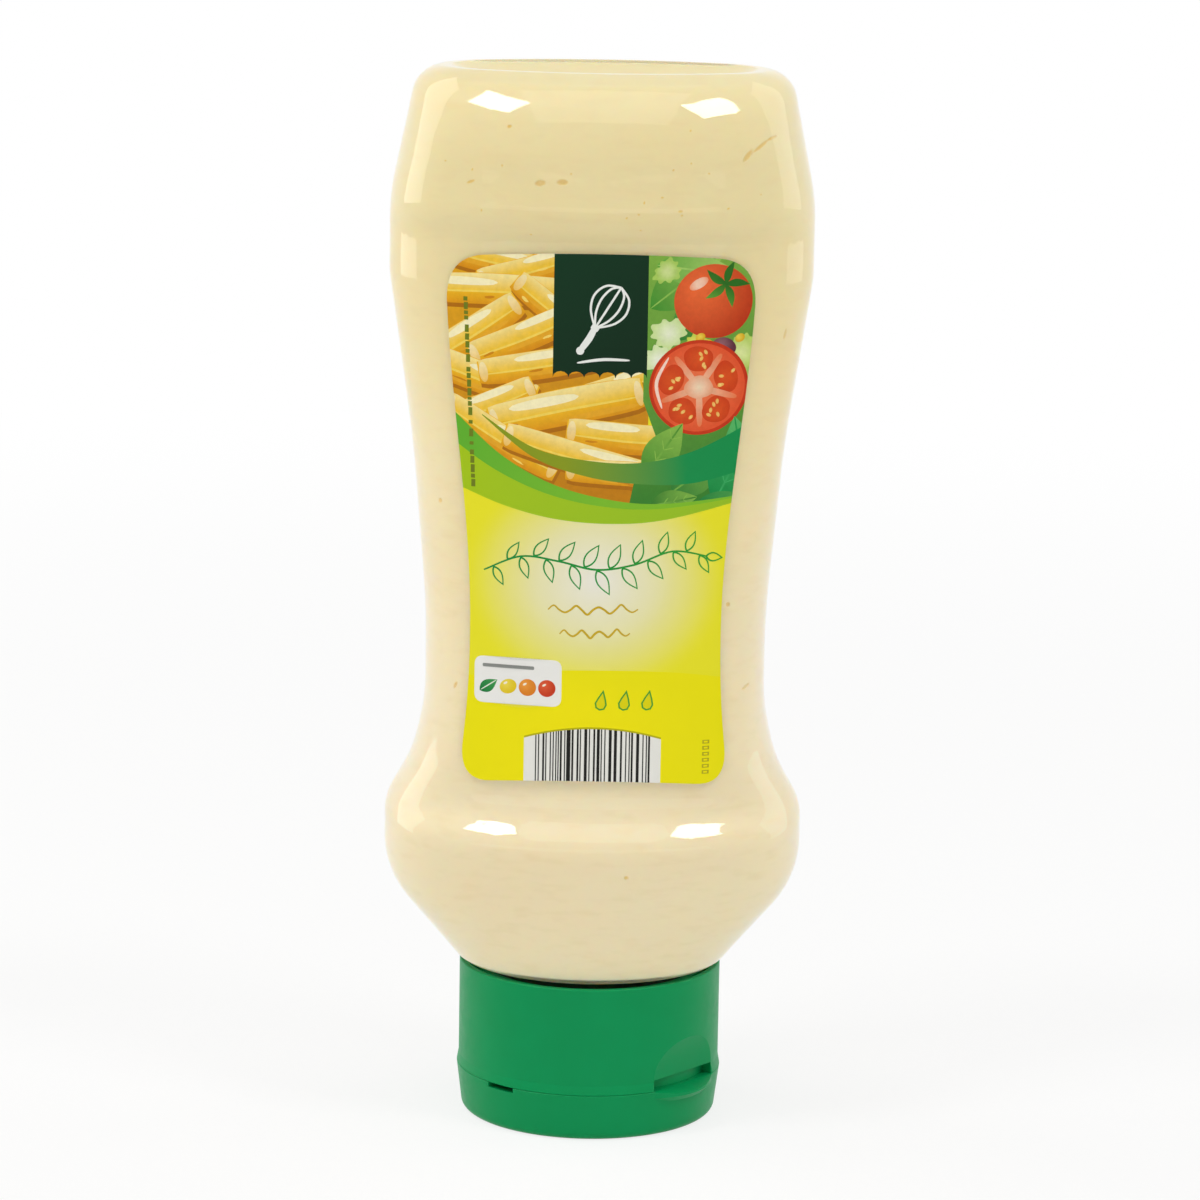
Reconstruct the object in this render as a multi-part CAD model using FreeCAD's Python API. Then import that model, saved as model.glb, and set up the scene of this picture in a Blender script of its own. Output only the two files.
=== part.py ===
import FreeCAD, Part

# Squeeze bottle of mayonnaise that stands head down on its flip-top cap.
# Frame: +Z up, +X to the reader's right, -Y towards the reader, who faces the front label.
# The origin is the middle of the lid's flat outer face, on which the bottle stands.
# Lengths are in millimetres and angles in degrees.
import math
import os

from FreeCAD import Vector

PARTS = "parts"
UP = Vector(0, 0, 1)

# --- Heights, from the table up -------------------------------------------------------
LID_HEIGHT = 9.0              # flip lid, up to the seam
CAP_HEIGHT = 20.5             # cap body, from the seam to its open rim
DECK = 5.3                    # cap body's floor, on which the neck's lip seats
SHOULDER_GAP = 0.8            # air between the cap's rim and the bottle's shoulder
BODY_HEIGHT = 169.7           # bottle above that gap, up to its base

SEAM_Z = LID_HEIGHT
DECK_Z = SEAM_Z + DECK
RIM_Z = SEAM_Z + CAP_HEIGHT
BODY_Z = RIM_Z + SHOULDER_GAP
TOP_Z = BODY_Z + BODY_HEIGHT

# --- Neck and cap, from the bore outwards ---------------------------------------------
WALL = 0.8                    # blown PET wall of the body
NECK_RADIUS = 20.5
NECK_WALL = 1.3
NECK_CLEARANCE = 0.15         # round the neck, in the cap
SLEEVE_WALL = 1.3             # sleeve of the cap that holds the neck
GROOVE_WIDTH = 1.95           # ring groove between the sleeve and the skirt
RIM_WALL = 1.1                # skirt at its open rim

NECK_ROOM = NECK_RADIUS + NECK_CLEARANCE
SLEEVE_RADIUS = NECK_ROOM + SLEEVE_WALL
CAP_RADIUS = SLEEVE_RADIUS + GROOVE_WIDTH + RIM_WALL

# --- Body, seen from the front: half widths -------------------------------------------
SHOULDER_OVERHANG = 0.3       # the shoulder is this much wider than the cap
BULGE_HALF_WIDTH = 39.7       # both bulges
WAIST_HALF_WIDTH = 32.2       # narrowest grip
GRIP_ENTRY_DROP = 5.0         # half width lost where the grip's lower curve flattens
FLARE_GAIN = 2.8              # half width gained where the grip flares towards the top
HEEL_DROP = 5.0               # half width lost from the high bulge to the base

# --- Body, seen from the side: half depths --------------------------------------------
SHOULDER_SETBACK = 1.2        # the shoulder is this much shallower than the cap
PANEL_HALF_DEPTH = 25.0       # label panel
LOW_BULGE_DEPTH = 4.45        # the low bulge's crest stands out of the panel by this
LOW_COVE_DEPTH = 1.25         # the cove above it, where its slope changes
HIGH_BULGE_DEPTH = 2.8        # the high bulge stands out of the panel by this
RIDGE_DEPTH = 0.35            # its lower edge stands out as a soft ridge
LEAN_SETBACK = 1.7            # lost where the front begins to lean in towards the base
HEEL_SETBACK = 7.15           # lost from the high bulge to the base

# --- Body, heights above BODY_Z -------------------------------------------------------
LOW_BULGE = 16.7              # the shoulder's slope meets the low bulge
LOW_CREST = 27.8              # deepest line of the low bulge
LOW_COVE = 31.0               # the cove above it, where its slope changes
GRIP_LOW = 30.5               # lower end of the grip
PANEL_LOW = 34.1              # lower end of the label panel
GRIP_ENTRY = 8.7              # above GRIP_LOW
WAIST_START = 19.2            # above GRIP_LOW
WAIST_LENGTH = 18.0

# --- Body, heights below its base -----------------------------------------------------
GRIP_HIGH = 38.5              # upper end of the grip
PANEL_HIGH = 29.4             # upper end of the label panel
HIGH_STEP = 4.6               # slope from the panel up to the high bulge's ridge
RIDGE_RUN = 3.8               # from that ridge to the plain barrel above it
HIGH_BULGE = 24.0             # upper end of the high bulge
LEAN_START = 13.6             # the front and back begin to lean in
LEAN_MORE = 8.1               # they lean in more
FLARE = 31.5                  # below GRIP_HIGH

# --- Body, seen from above ------------------------------------------------------------
PANEL_RADIUS = 58.0           # front and back faces
CORNER_RUN = 9.0              # width of a rounded side, beyond the panel
CORNER_FULLNESS = 0.62        # how far its curve leans into the corner, from 0 to 1
ROUND_UNTIL = 26.0            # the round shoulder has become the oval this far up

HEEL_RADIUS = 4.6
HEEL_DEPTH_SHARE = 0.5        # the heel's rounding is this much tighter in front and behind
SHOULDER_EDGE_RADIUS = 0.6
BASE_RING = 1.6               # flat ring round the base's recess
BASE_DEPTH = 2.4
BASE_SLOPE = 4.0              # sideways run of the recess's wall

# --- Cap body -------------------------------------------------------------------------
SLEEVE_DROP = 0.9             # the sleeve stays this far below the rim
GROOVE_DEPTH = 6.0
BEAD = 0.3                    # the skirt flares by this at the seam
BEAD_HEIGHT = 1.8
EDGE_CHAMFER = 0.15

NOTCH_TURN = 50.0             # thumb notch, to the right of the front
NOTCH_DEPTH = 1.5             # deepest line of the scoop
NOTCH_HEIGHT = 9.3            # from the seam to the top of the scoop
UNDERCUT_HEIGHT = 2.2
UNDERCUT_DEPTH = 2.0

# --- Flip lid -------------------------------------------------------------------------
LID_STANDS_PROUD = 0.05       # of the cap body's bead
LID_TAPER = 1.1               # its wall leans in by this, towards the table
LID_EDGE_RADIUS = 1.6
LIP_REACH = 1.3               # thumb lip, beyond the lid's wall
LIP_RADIUS = 14.0             # of its rounded front
LIP_HEIGHT = 2.4
LIP_RAMP_DROP = 0.9           # its top slopes down to the outside by this
LIP_RAMP_RUN = 2.9
LIP_UNDERSIDE = 1.1           # chamfer that leads the lip back into the wall
SLOT_OFFSET = 91.0            # one slot each side of the thumb notch
SLOT_WIDTH = 6.3
SLOT_HEIGHT = 0.95
SLOT_DEPTH = 4.0

LID_WALL_RADIUS = CAP_RADIUS + BEAD + LID_STANDS_PROUD

# --- Living hinge, across the seam opposite the notch ---------------------------------
HINGE_TURN = NOTCH_TURN + 180.0
HINGE_WIDTH = 15.0
HINGE_HEIGHT = 5.0
HINGE_THICKNESS = 0.9
HINGE_PROUD = 0.25            # it stands out of the lid's wall by this
HINGE_SLITS = 2
HINGE_SLIT_WIDTH = 1.0

# --- Labels ---------------------------------------------------------------------------
LABEL_THICKNESS = 0.15
LABEL_GLUE = 0.02             # between the label and the panel
LABEL_LOW_MARGIN = 5.3        # from the panel's lower end to the middle of the lower edge
LABEL_HIGH_MARGIN = 2.7       # the same at the upper end
LABEL_ARCH = 1.6              # both edges arch up by this
LABEL_WAIST_MARGIN = 0.1      # from the rounded side to the label, at the waist
LABEL_TOP_MARGIN = 2.1        # the same at its top
LABEL_STRAIGHT = 22.6         # its sides run straight for this height
LABEL_TOP_CORNER = 5.6
LABEL_LOW_CORNER = 6.3

# --- How finely the curved body is measured -------------------------------------------
STATION_STEP = 1.6            # height between sections
HEEL_STATIONS = 6             # sections round the heel's quarter turn
EDGE_STATIONS = 3             # sections round the shoulder's small edge
ARC_POINTS = 5                # points along a quarter's panel
CORNER_POINTS = 9             # points along its corner
LABEL_SIDE_POINTS = 9
SLACK = 1.0                   # how far a cutting block runs past what it cuts
TOLERANCE = 1e-5


def width_profile():
    """Front view of the body: (height above BODY_Z, half width, fillet radius)."""
    grip_high = BODY_HEIGHT - GRIP_HIGH
    waist = GRIP_LOW + WAIST_START
    return [
        (0.0, CAP_RADIUS + SHOULDER_OVERHANG, 0.0),
        (LOW_BULGE, BULGE_HALF_WIDTH, 18.0),
        (GRIP_LOW, BULGE_HALF_WIDTH, 10.0),
        (GRIP_LOW + GRIP_ENTRY, BULGE_HALF_WIDTH - GRIP_ENTRY_DROP, 25.0),
        (waist, WAIST_HALF_WIDTH, 40.0),
        (waist + WAIST_LENGTH, WAIST_HALF_WIDTH, 150.0),
        (grip_high - FLARE, WAIST_HALF_WIDTH + FLARE_GAIN, 200.0),
        (grip_high, BULGE_HALF_WIDTH, 14.0),
        (BODY_HEIGHT - HIGH_BULGE, BULGE_HALF_WIDTH, 40.0),
        (BODY_HEIGHT, BULGE_HALF_WIDTH - HEEL_DROP, 0.0),
    ]


def depth_profile():
    """Side view of the body: (height above BODY_Z, half depth, fillet radius)."""
    panel_high = BODY_HEIGHT - PANEL_HIGH
    high_bulge = PANEL_HALF_DEPTH + HIGH_BULGE_DEPTH
    return [
        (0.0, CAP_RADIUS - SHOULDER_SETBACK, 0.0),
        (LOW_CREST, PANEL_HALF_DEPTH + LOW_BULGE_DEPTH, 4.5),
        (LOW_COVE, PANEL_HALF_DEPTH + LOW_COVE_DEPTH, 9.0),
        (PANEL_LOW, PANEL_HALF_DEPTH, 9.0),
        (panel_high, PANEL_HALF_DEPTH, 5.0),
        (panel_high + HIGH_STEP, high_bulge + RIDGE_DEPTH, 4.5),
        (panel_high + HIGH_STEP + RIDGE_RUN, high_bulge, 12.0),
        (BODY_HEIGHT - LEAN_START, high_bulge, 36.0),
        (BODY_HEIGHT - LEAN_MORE, high_bulge - LEAN_SETBACK, 36.0),
        (BODY_HEIGHT, high_bulge - HEEL_SETBACK, 0.0),
    ]


def rounded(profile):
    """A profile as straight runs (low end, high end) and arcs (ends, centre, radius)."""
    points = [Vector(half, 0, height) for height, half, _ in profile]
    pieces = []
    start = points[0]
    for i in range(1, len(points) - 1):
        corner, radius = points[i], profile[i][2]
        back = (points[i - 1] - corner).normalize()
        ahead = (points[i + 1] - corner).normalize()
        half_turn = (math.pi - back.getAngle(ahead)) / 2
        room = min((points[i - 1] - corner).Length, (points[i + 1] - corner).Length) / 2
        cut = min(radius * math.tan(half_turn), room)
        first, last = corner + back * cut, corner + ahead * cut
        pieces.append(("line", start, first))
        if half_turn > 1e-6:
            true_radius = cut / math.tan(half_turn)
            middle = (back + ahead).normalize() * (true_radius / math.cos(half_turn))
            pieces.append(("arc", first, last, corner + middle, true_radius))
        start = last
    pieces.append(("line", start, points[-1]))
    return pieces


def half_at(pieces, height):
    """Half width or half depth of a rounded profile at a height above BODY_Z."""
    for piece in pieces:
        low, high = piece[1], piece[2]
        if height > high.z + 1e-9:
            continue
        if piece[0] == "line":
            share = (height - low.z) / (high.z - low.z)
            return low.x + (high.x - low.x) * share
        centre, radius = piece[3], piece[4]
        reach = math.sqrt(max(radius**2 - (height - centre.z) ** 2, 0.0))
        return centre.x + math.copysign(reach, low.x - centre.x)
    return pieces[-1][2].x


def smooth(share):
    """0 to 1 with level ends."""
    share = min(max(share, 0.0), 1.0)
    return share * share * (3 - 2 * share)


def oval_quarter(half_width, half_depth, panel_radius, corner_run):
    """Points from the middle of the front to the side: the panel's arc, then the corner."""
    edge = half_width - corner_run
    lean = math.asin(edge / panel_radius)
    centre_y = panel_radius - half_depth
    points = []
    for i in range(ARC_POINTS):
        turn = lean * i / ARC_POINTS
        x = panel_radius * math.sin(turn)
        points.append((x, centre_y - panel_radius * math.cos(turn)))
    start = (edge, centre_y - panel_radius * math.cos(lean))
    meet = (half_width, start[1] + corner_run * math.tan(lean))
    pull = CORNER_FULLNESS
    first = [s + (m - s) * pull for s, m in zip(start, meet)]
    second = (half_width, meet[1] * pull)
    for i in range(CORNER_POINTS):
        t = i / CORNER_POINTS
        weights = ((1 - t) ** 3, 3 * t * (1 - t) ** 2, 3 * t * t * (1 - t), t**3)
        hooks = (start, first, second, (half_width, 0.0))
        points.append(tuple(sum(w * h[k] for w, h in zip(weights, hooks)) for k in (0, 1)))
    return points


def section_points(height, inset=0.0, rounding=0.0):
    """One turn of points round the body at a height above BODY_Z.

    The wall moves it in by inset, and the rounding of an end by a further amount.
    """
    half_width = half_at(WIDTHS, height) - inset - rounding
    half_depth = half_at(DEPTHS, height) - inset - rounding * HEEL_DEPTH_SHARE
    run = CORNER_RUN * half_width / (half_width + inset + rounding)
    quarter = oval_quarter(half_width, half_depth, PANEL_RADIUS - inset - rounding, run)
    roundness = 1 - smooth(height / ROUND_UNTIL)
    blended = []
    for x, y in quarter:
        angle = math.atan2(y, x)
        reach = math.hypot(math.cos(angle) / half_width, math.sin(angle) / half_depth)
        round_x, round_y = math.cos(angle) / reach, math.sin(angle) / reach
        blended.append((x + (round_x - x) * roundness, y + (round_y - y) * roundness))
    right = blended + [(half_width, 0.0)] + [(x, -y) for x, y in reversed(blended)]
    left = [(-x, y) for x, y in reversed(right[1:-1])]
    return [Vector(x, y, BODY_Z + height) for x, y in right + left]


def shared_knots():
    """One list of curve parameters for every section, from the section at the waist."""
    points = section_points(GRIP_LOW + WAIST_START)
    knots = [0.0]
    for here, there in zip(points, points[1:] + points[:1]):
        knots.append(knots[-1] + (there - here).Length)
    return [k / knots[-1] for k in knots]


def section_curve(height, inset=0.0, rounding=0.0, z=None):
    """The closed smooth section at a height, or the same section moved to another z."""
    points = section_points(height, inset, rounding)
    if z is not None:
        points = [Vector(p.x, p.y, z) for p in points]
    curve = Part.BSplineCurve()
    curve.interpolate(Points=points, PeriodicFlag=True, Parameters=KNOTS)
    return curve


def skinned(sections):
    """A solid whose smooth side passes through closed sections, with flat ends.

    Each control point of the sections is carried upwards along a curve of its own,
    and all these curves share one list of parameters, which follows the body's side.
    """
    sides = [s.value(KNOTS[len(KNOTS) // 4]) for s in sections]
    levels = [0.0]
    for here, there in zip(sides, sides[1:]):
        levels.append(levels[-1] + (there - here).Length)
    columns = []
    for i in range(sections[0].NbPoles):
        column = Part.BSplineCurve()
        column.interpolate(Points=[s.getPole(i + 1) for s in sections], Parameters=levels)
        columns.append(column)
    surface = Part.BSplineSurface()
    surface.buildFromPolesMultsKnots(
        [c.getPoles() for c in columns],
        sections[0].getMultiplicities(),
        columns[0].getMultiplicities(),
        sections[0].getKnots(),
        columns[0].getKnots(),
        True,
        False,
        sections[0].Degree,
        columns[0].Degree,
    )
    side = surface.toShape()
    ends = [Part.Face(Part.Wire(ring_edges(side, s.value(0).z))) for s in (sections[0], sections[-1])]
    solid = Part.makeSolid(Part.makeShell([side] + ends))
    solid.fix(TOLERANCE, TOLERANCE, TOLERANCE)   # turns the ends to face outwards
    return solid


def rounded_end(start, radius, inset, stations):
    """Sections that turn inwards by a quarter circle. A negative radius turns downwards."""
    sections = []
    for i in range(stations + 1):
        turn = math.pi / 2 * i / stations
        height = start + radius * math.sin(turn)
        sections.append(section_curve(height, inset, abs(radius) * (1 - math.cos(turn))))
    return sections


def body_solid(low, high, inset):
    """The body between two heights above BODY_Z, with its wall moved in by inset.

    Level stations run up to the heel, whose rounding is a quarter turn of stations.
    """
    spring = high - HEEL_RADIUS + inset
    count = math.ceil((spring - low) / STATION_STEP)
    level = [section_curve(low + (spring - low) * i / count, inset) for i in range(count)]
    return skinned(level + rounded_end(spring, HEEL_RADIUS - inset, inset, HEEL_STATIONS))


def ring_edges(solid, z):
    """Edges of a solid that lie wholly at one height."""
    flat = []
    for edge in solid.Edges:
        box = edge.BoundBox
        if abs(box.ZMin - z) < 1e-3 and abs(box.ZMax - z) < 1e-3:
            flat.append(edge)
    return flat


def base_recess():
    """The shallow hollow in the base, between its flat ring and its floor."""
    rim = section_curve(BODY_HEIGHT, BASE_RING, HEEL_RADIUS)
    floor = section_curve(BODY_HEIGHT, BASE_RING + BASE_SLOPE, HEEL_RADIUS, TOP_Z - BASE_DEPTH)
    return Part.makeLoft([Part.Wire(c.toShape()) for c in (floor, rim)], True, True)


def outer_body():
    """The bottle without its hollow: body, recessed base and neck."""
    edge = rounded_end(SHOULDER_EDGE_RADIUS, -SHOULDER_EDGE_RADIUS, 0.0, EDGE_STATIONS)
    body = body_solid(SHOULDER_EDGE_RADIUS, BODY_HEIGHT, 0.0).fuse(skinned(edge))
    body = body.cut(base_recess())
    neck = Part.makeCylinder(NECK_RADIUS, BODY_Z + SLACK - DECK_Z, Vector(0, 0, DECK_Z))
    return body.fuse(neck).removeSplitter()


def filling():
    """The mayonnaise, which fills the bottle's whole inside down to the neck's lip."""
    ceiling = BODY_HEIGHT - BASE_DEPTH - WALL
    inside = body_solid(WALL, ceiling, WALL)
    height = BODY_Z + WALL + SLACK - DECK_Z
    bore = Part.makeCylinder(NECK_RADIUS - NECK_WALL, height, Vector(0, 0, DECK_Z))
    return inside.fuse(bore).removeSplitter()


def turned(shape, turn):
    """A shape made in front of the axis (towards -Y), turned about Z to its place."""
    moved = shape.copy()
    moved.rotate(Vector(0, 0, 0), UP, turn)
    return moved


def revolved(outline):
    """A solid of revolution from (radius, height) points."""
    points = [Vector(r, 0, z) for r, z in outline]
    face = Part.Face(Part.makePolygon(points + points[:1]))
    return face.revolve(Vector(0, 0, 0), UP, 360)


def wall_window(turn, width, low, high, inner, outer):
    """A block through the round wall: width across, from an inner to an outer radius."""
    block = Part.makeBox(width, outer, high - low, Vector(-width / 2, -outer, low))
    ring = Part.makeCylinder(outer, high - low, Vector(0, 0, low)).cut(
        Part.makeCylinder(inner, high - low, Vector(0, 0, low))
    )
    return turned(block.common(ring), turn)


def notch_half_width():
    """Half width of the scoop at its deepest line, where the round skirt leaves it."""
    return math.sqrt(CAP_RADIUS**2 - (CAP_RADIUS - NOTCH_DEPTH) ** 2)


def notch_scoop():
    """Shallow scoop for the thumb: a lying cylinder that bites into the skirt."""
    rise = NOTCH_HEIGHT - UNDERCUT_HEIGHT
    radius = (rise**2 + NOTCH_DEPTH**2) / (2 * NOTCH_DEPTH)
    length = 2 * CAP_RADIUS
    middle = Vector(-length / 2, -(CAP_RADIUS - NOTCH_DEPTH + radius), SEAM_Z + UNDERCUT_HEIGHT)
    roll = Part.makeCylinder(radius, length, middle, Vector(1, 0, 0))
    above_seam = Part.makeBox(length, length, CAP_HEIGHT, Vector(-length / 2, -length, SEAM_Z))
    return turned(roll.common(above_seam), NOTCH_TURN)


def notch_undercut():
    """Deeper pocket under the scoop, where the thumb catches the lid's lip."""
    width = 2 * notch_half_width()
    high = SEAM_Z + UNDERCUT_HEIGHT
    inner = CAP_RADIUS - UNDERCUT_DEPTH
    return wall_window(NOTCH_TURN, width, SEAM_Z, high, inner, CAP_RADIUS + BEAD + SLACK)


def cap_body():
    """The skirt that screws on the neck, with the thumb notch and the hinge's seat."""
    skirt = CAP_RADIUS - RIM_WALL
    flare = CAP_RADIUS + BEAD
    body = revolved([
        (0, SEAM_Z),
        (flare - EDGE_CHAMFER, SEAM_Z),
        (flare, SEAM_Z + EDGE_CHAMFER),
        (CAP_RADIUS, SEAM_Z + BEAD_HEIGHT),
        (CAP_RADIUS, RIM_Z - EDGE_CHAMFER),
        (CAP_RADIUS - EDGE_CHAMFER, RIM_Z),
        (skirt, RIM_Z),
        (skirt, RIM_Z - GROOVE_DEPTH),
        (SLEEVE_RADIUS, RIM_Z - GROOVE_DEPTH),
        (SLEEVE_RADIUS, RIM_Z - SLEEVE_DROP),
        (NECK_ROOM, RIM_Z - SLEEVE_DROP),
        (NECK_ROOM, DECK_Z),
        (0, DECK_Z),
    ])
    return body.cut(notch_scoop()).cut(notch_undercut()).cut(hinge_seat())


def thumb_lip():
    """Rounded tongue under the notch, with a chamfer that leads back into the lid."""
    middle = Vector(0, LIP_RADIUS - LID_WALL_RADIUS - LIP_REACH, SEAM_Z - LIP_HEIGHT)
    tongue = Part.makeCylinder(LIP_RADIUS, LIP_HEIGHT, middle)
    tongue = tongue.makeChamfer(LIP_UNDERSIDE, ring_edges(tongue, SEAM_Z - LIP_HEIGHT))
    return turned(tongue, NOTCH_TURN)


def lip_ramp():
    """Block that slopes the lip's top down to the outside, as wide as the notch."""
    width = 2 * notch_half_width()
    reach = LIP_RAMP_RUN + LIP_REACH
    block = Part.makeBox(width, reach, LIP_HEIGHT, Vector(-width / 2, -reach, 0))
    block.rotate(Vector(0, 0, 0), Vector(1, 0, 0), math.degrees(math.atan2(LIP_RAMP_DROP, LIP_RAMP_RUN)))
    block.translate(Vector(0, LIP_RAMP_RUN - LID_WALL_RADIUS - LIP_REACH, SEAM_Z))
    return turned(block, NOTCH_TURN)


def flip_lid():
    """The closed flip lid, which is also the foot, with its lip and two slots."""
    lid = revolved([
        (0, 0),
        (LID_WALL_RADIUS - LID_TAPER, 0),
        (LID_WALL_RADIUS, SEAM_Z - EDGE_CHAMFER),
        (LID_WALL_RADIUS - EDGE_CHAMFER, SEAM_Z),
        (0, SEAM_Z),
    ])
    lid = lid.makeFillet(LID_EDGE_RADIUS, ring_edges(lid, 0.0))
    lid = lid.fuse(thumb_lip()).cut(lip_ramp())
    inner, outer = LID_WALL_RADIUS - SLOT_DEPTH, LID_WALL_RADIUS + SLACK
    for offset in (-SLOT_OFFSET, SLOT_OFFSET):
        low = SEAM_Z - SLOT_HEIGHT
        lid = lid.cut(wall_window(NOTCH_TURN + offset, SLOT_WIDTH, low, SEAM_Z, inner, outer))
    return lid.cut(hinge_seat())


def hinge_window(beyond):
    """The hinge strap's space, centred on the seam. It can run past the strap's outer face."""
    outer = LID_WALL_RADIUS + HINGE_PROUD
    low, high = SEAM_Z - HINGE_HEIGHT / 2, SEAM_Z + HINGE_HEIGHT / 2
    return wall_window(HINGE_TURN, HINGE_WIDTH, low, high, outer - HINGE_THICKNESS, outer + beyond)


def hinge_seat():
    """What the strap's shallow seat takes out of the cap body and the lid."""
    return hinge_window(SLACK)


def living_hinge():
    """Thin strap across the seam at the back, slit into three webs."""
    strap = hinge_window(0.0)
    pitch = HINGE_WIDTH / (HINGE_SLITS + 1)
    reach = LID_WALL_RADIUS + HINGE_PROUD + SLACK
    for i in range(HINGE_SLITS):
        across = pitch * (i + 1) - HINGE_WIDTH / 2
        corner = Vector(across - HINGE_SLIT_WIDTH / 2, -reach, SEAM_Z - HINGE_HEIGHT / 4)
        slit = Part.makeBox(HINGE_SLIT_WIDTH, reach, HINGE_HEIGHT / 2, corner)
        strap = strap.cut(turned(slit, HINGE_TURN))
    return strap


def label_half_width(height):
    """Half width of the label at a height above BODY_Z: straight sides, then wider."""
    panel = WAIST_HALF_WIDTH - CORNER_RUN - LABEL_WAIST_MARGIN
    top = BULGE_HALF_WIDTH - CORNER_RUN - LABEL_TOP_MARGIN
    share = (height - LABEL_LOW - LABEL_STRAIGHT) / (LABEL_HIGH - LABEL_LOW - LABEL_STRAIGHT)
    return panel + (top - panel) * smooth(share)


def label_prism():
    """The label's outline, pulled straight back through the front of the body."""
    low, high = LABEL_LOW - LABEL_ARCH, LABEL_HIGH - LABEL_ARCH
    depth = 2 * PANEL_HALF_DEPTH
    right_side = []
    for i in range(LABEL_SIDE_POINTS):
        height = low + (high - low) * i / (LABEL_SIDE_POINTS - 1)
        right_side.append(Vector(label_half_width(height), -depth, BODY_Z + height))
    left_side = [Vector(-p.x, p.y, p.z) for p in right_side]
    edges = []
    for side in (right_side, left_side):
        curve = Part.BSplineCurve()
        curve.interpolate(Points=side)
        edges.append(curve.toShape())
    for right, left in ((right_side[0], left_side[0]), (right_side[-1], left_side[-1])):
        middle = (right + left) / 2 + UP * LABEL_ARCH
        edges.append(Part.Arc(right, middle, left).toShape())
    prism = Part.Face(Part.Wire(Part.__sortEdges__(edges))).extrude(Vector(0, depth, 0))
    for radius, height in ((LABEL_TOP_CORNER, high), (LABEL_LOW_CORNER, low)):
        corners = [e for e in prism.Edges if is_corner(e, BODY_Z + height)]
        prism = prism.makeFillet(radius, corners)
    return prism


def is_corner(edge, z):
    """True for an edge of the label's prism that runs straight back from a corner."""
    box = edge.BoundBox
    return box.YLength > PANEL_HALF_DEPTH and abs(box.ZMax - z) < 1e-3 and box.ZLength < 1e-3


def front_label():
    """A thin film that follows the panel's curve."""
    inner = PANEL_RADIUS + LABEL_GLUE
    middle = Vector(0, PANEL_RADIUS - PANEL_HALF_DEPTH, BODY_Z)
    film = Part.makeCylinder(inner + LABEL_THICKNESS, BODY_HEIGHT, middle).cut(
        Part.makeCylinder(inner, BODY_HEIGHT, middle)
    )
    return film.common(label_prism())


def save(shape, name):
    """Writes one closed solid to its STEP file."""
    solids = shape.Solids
    if len(solids) != 1 or not shape.isValid():
        raise ValueError(f"{name}: {len(solids)} solids, valid {shape.isValid()}")
    path = os.path.join(PARTS, name + ".step")
    solids[0].exportStep(path)
    print(f"{name}: {solids[0].Volume / 1000:.2f} cm3, {len(solids[0].Faces)} faces")


LABEL_LOW = PANEL_LOW + LABEL_LOW_MARGIN
LABEL_HIGH = BODY_HEIGHT - PANEL_HIGH - LABEL_HIGH_MARGIN
WIDTHS = rounded(width_profile())
DEPTHS = rounded(depth_profile())
KNOTS = shared_knots()


def main():
    os.makedirs(PARTS, exist_ok=True)
    mayonnaise = filling()
    save(outer_body().cut(mayonnaise), "bottle")
    save(mayonnaise, "mayonnaise")
    save(front_label(), "label_front")
    save(turned(front_label(), 180.0), "label_back")
    save(cap_body(), "cap_body")
    save(flip_lid(), "flip_lid")
    save(living_hinge(), "living_hinge")


main()
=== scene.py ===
# %% [markdown]
# # A squeeze bottle of mayonnaise
# The bottle is blown from clear PET and stands head down on its flip-top cap. Its solids come
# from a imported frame. This script adds what makes them look real: the clear wall, the cream
# behind it, the printed film of the labels and the moulded green cap. Blender works in
# metres, so a length in millimetres is written times MM.

# %% Load the frame
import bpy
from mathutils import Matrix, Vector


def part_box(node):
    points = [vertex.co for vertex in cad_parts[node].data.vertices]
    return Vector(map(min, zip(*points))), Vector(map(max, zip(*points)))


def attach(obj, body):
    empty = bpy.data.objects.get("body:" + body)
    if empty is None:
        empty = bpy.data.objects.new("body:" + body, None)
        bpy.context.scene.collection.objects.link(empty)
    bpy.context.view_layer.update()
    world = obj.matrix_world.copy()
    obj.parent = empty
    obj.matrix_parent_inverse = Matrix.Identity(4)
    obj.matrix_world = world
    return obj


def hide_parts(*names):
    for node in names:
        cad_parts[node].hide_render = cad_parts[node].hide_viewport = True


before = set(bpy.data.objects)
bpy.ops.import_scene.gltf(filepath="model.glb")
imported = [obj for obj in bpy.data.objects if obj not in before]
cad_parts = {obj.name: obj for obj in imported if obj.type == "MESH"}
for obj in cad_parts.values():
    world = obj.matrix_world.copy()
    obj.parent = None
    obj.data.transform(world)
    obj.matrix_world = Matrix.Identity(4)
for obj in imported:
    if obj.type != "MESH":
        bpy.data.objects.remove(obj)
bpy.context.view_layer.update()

print("solids in the frame:", sorted(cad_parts))

# %% Modules and the unit
import random
from math import cos, dist, hypot, pi, radians, sin, sqrt

import bmesh
import bpy
from mathutils import Matrix, Vector
from mathutils.bvhtree import BVHTree
from mathutils.geometry import delaunay_2d_cdt

MM = 0.001
scene = bpy.context.scene
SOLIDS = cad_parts
BOTTLE_LOW, BOTTLE_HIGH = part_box("bottle")
print("bottle, mm:", [round(side / MM, 1) for side in BOTTLE_HIGH - BOTTLE_LOW])

# %% [markdown]
# ## Colours and nodes
# A colour is written as the sRGB hex value that a paint chart or a screen gives it. Shaders
# work in linear light, so one function turns the hex value into linear numbers. A material
# is a short list of nodes, and a second function adds one node with its settings, its values
# and its links, so that each material below can be read from top to bottom.


# %% Helpers for colours, materials and objects
def linear(code):
    """An sRGB hex colour as linear red, green, blue and alpha."""
    light = []
    for i in (0, 2, 4):
        c = int(code[i : i + 2], 16) / 255
        light.append(c / 12.92 if c <= 0.04045 else ((c + 0.055) / 1.055) ** 2.4)
    return (*light, 1.0)


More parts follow.
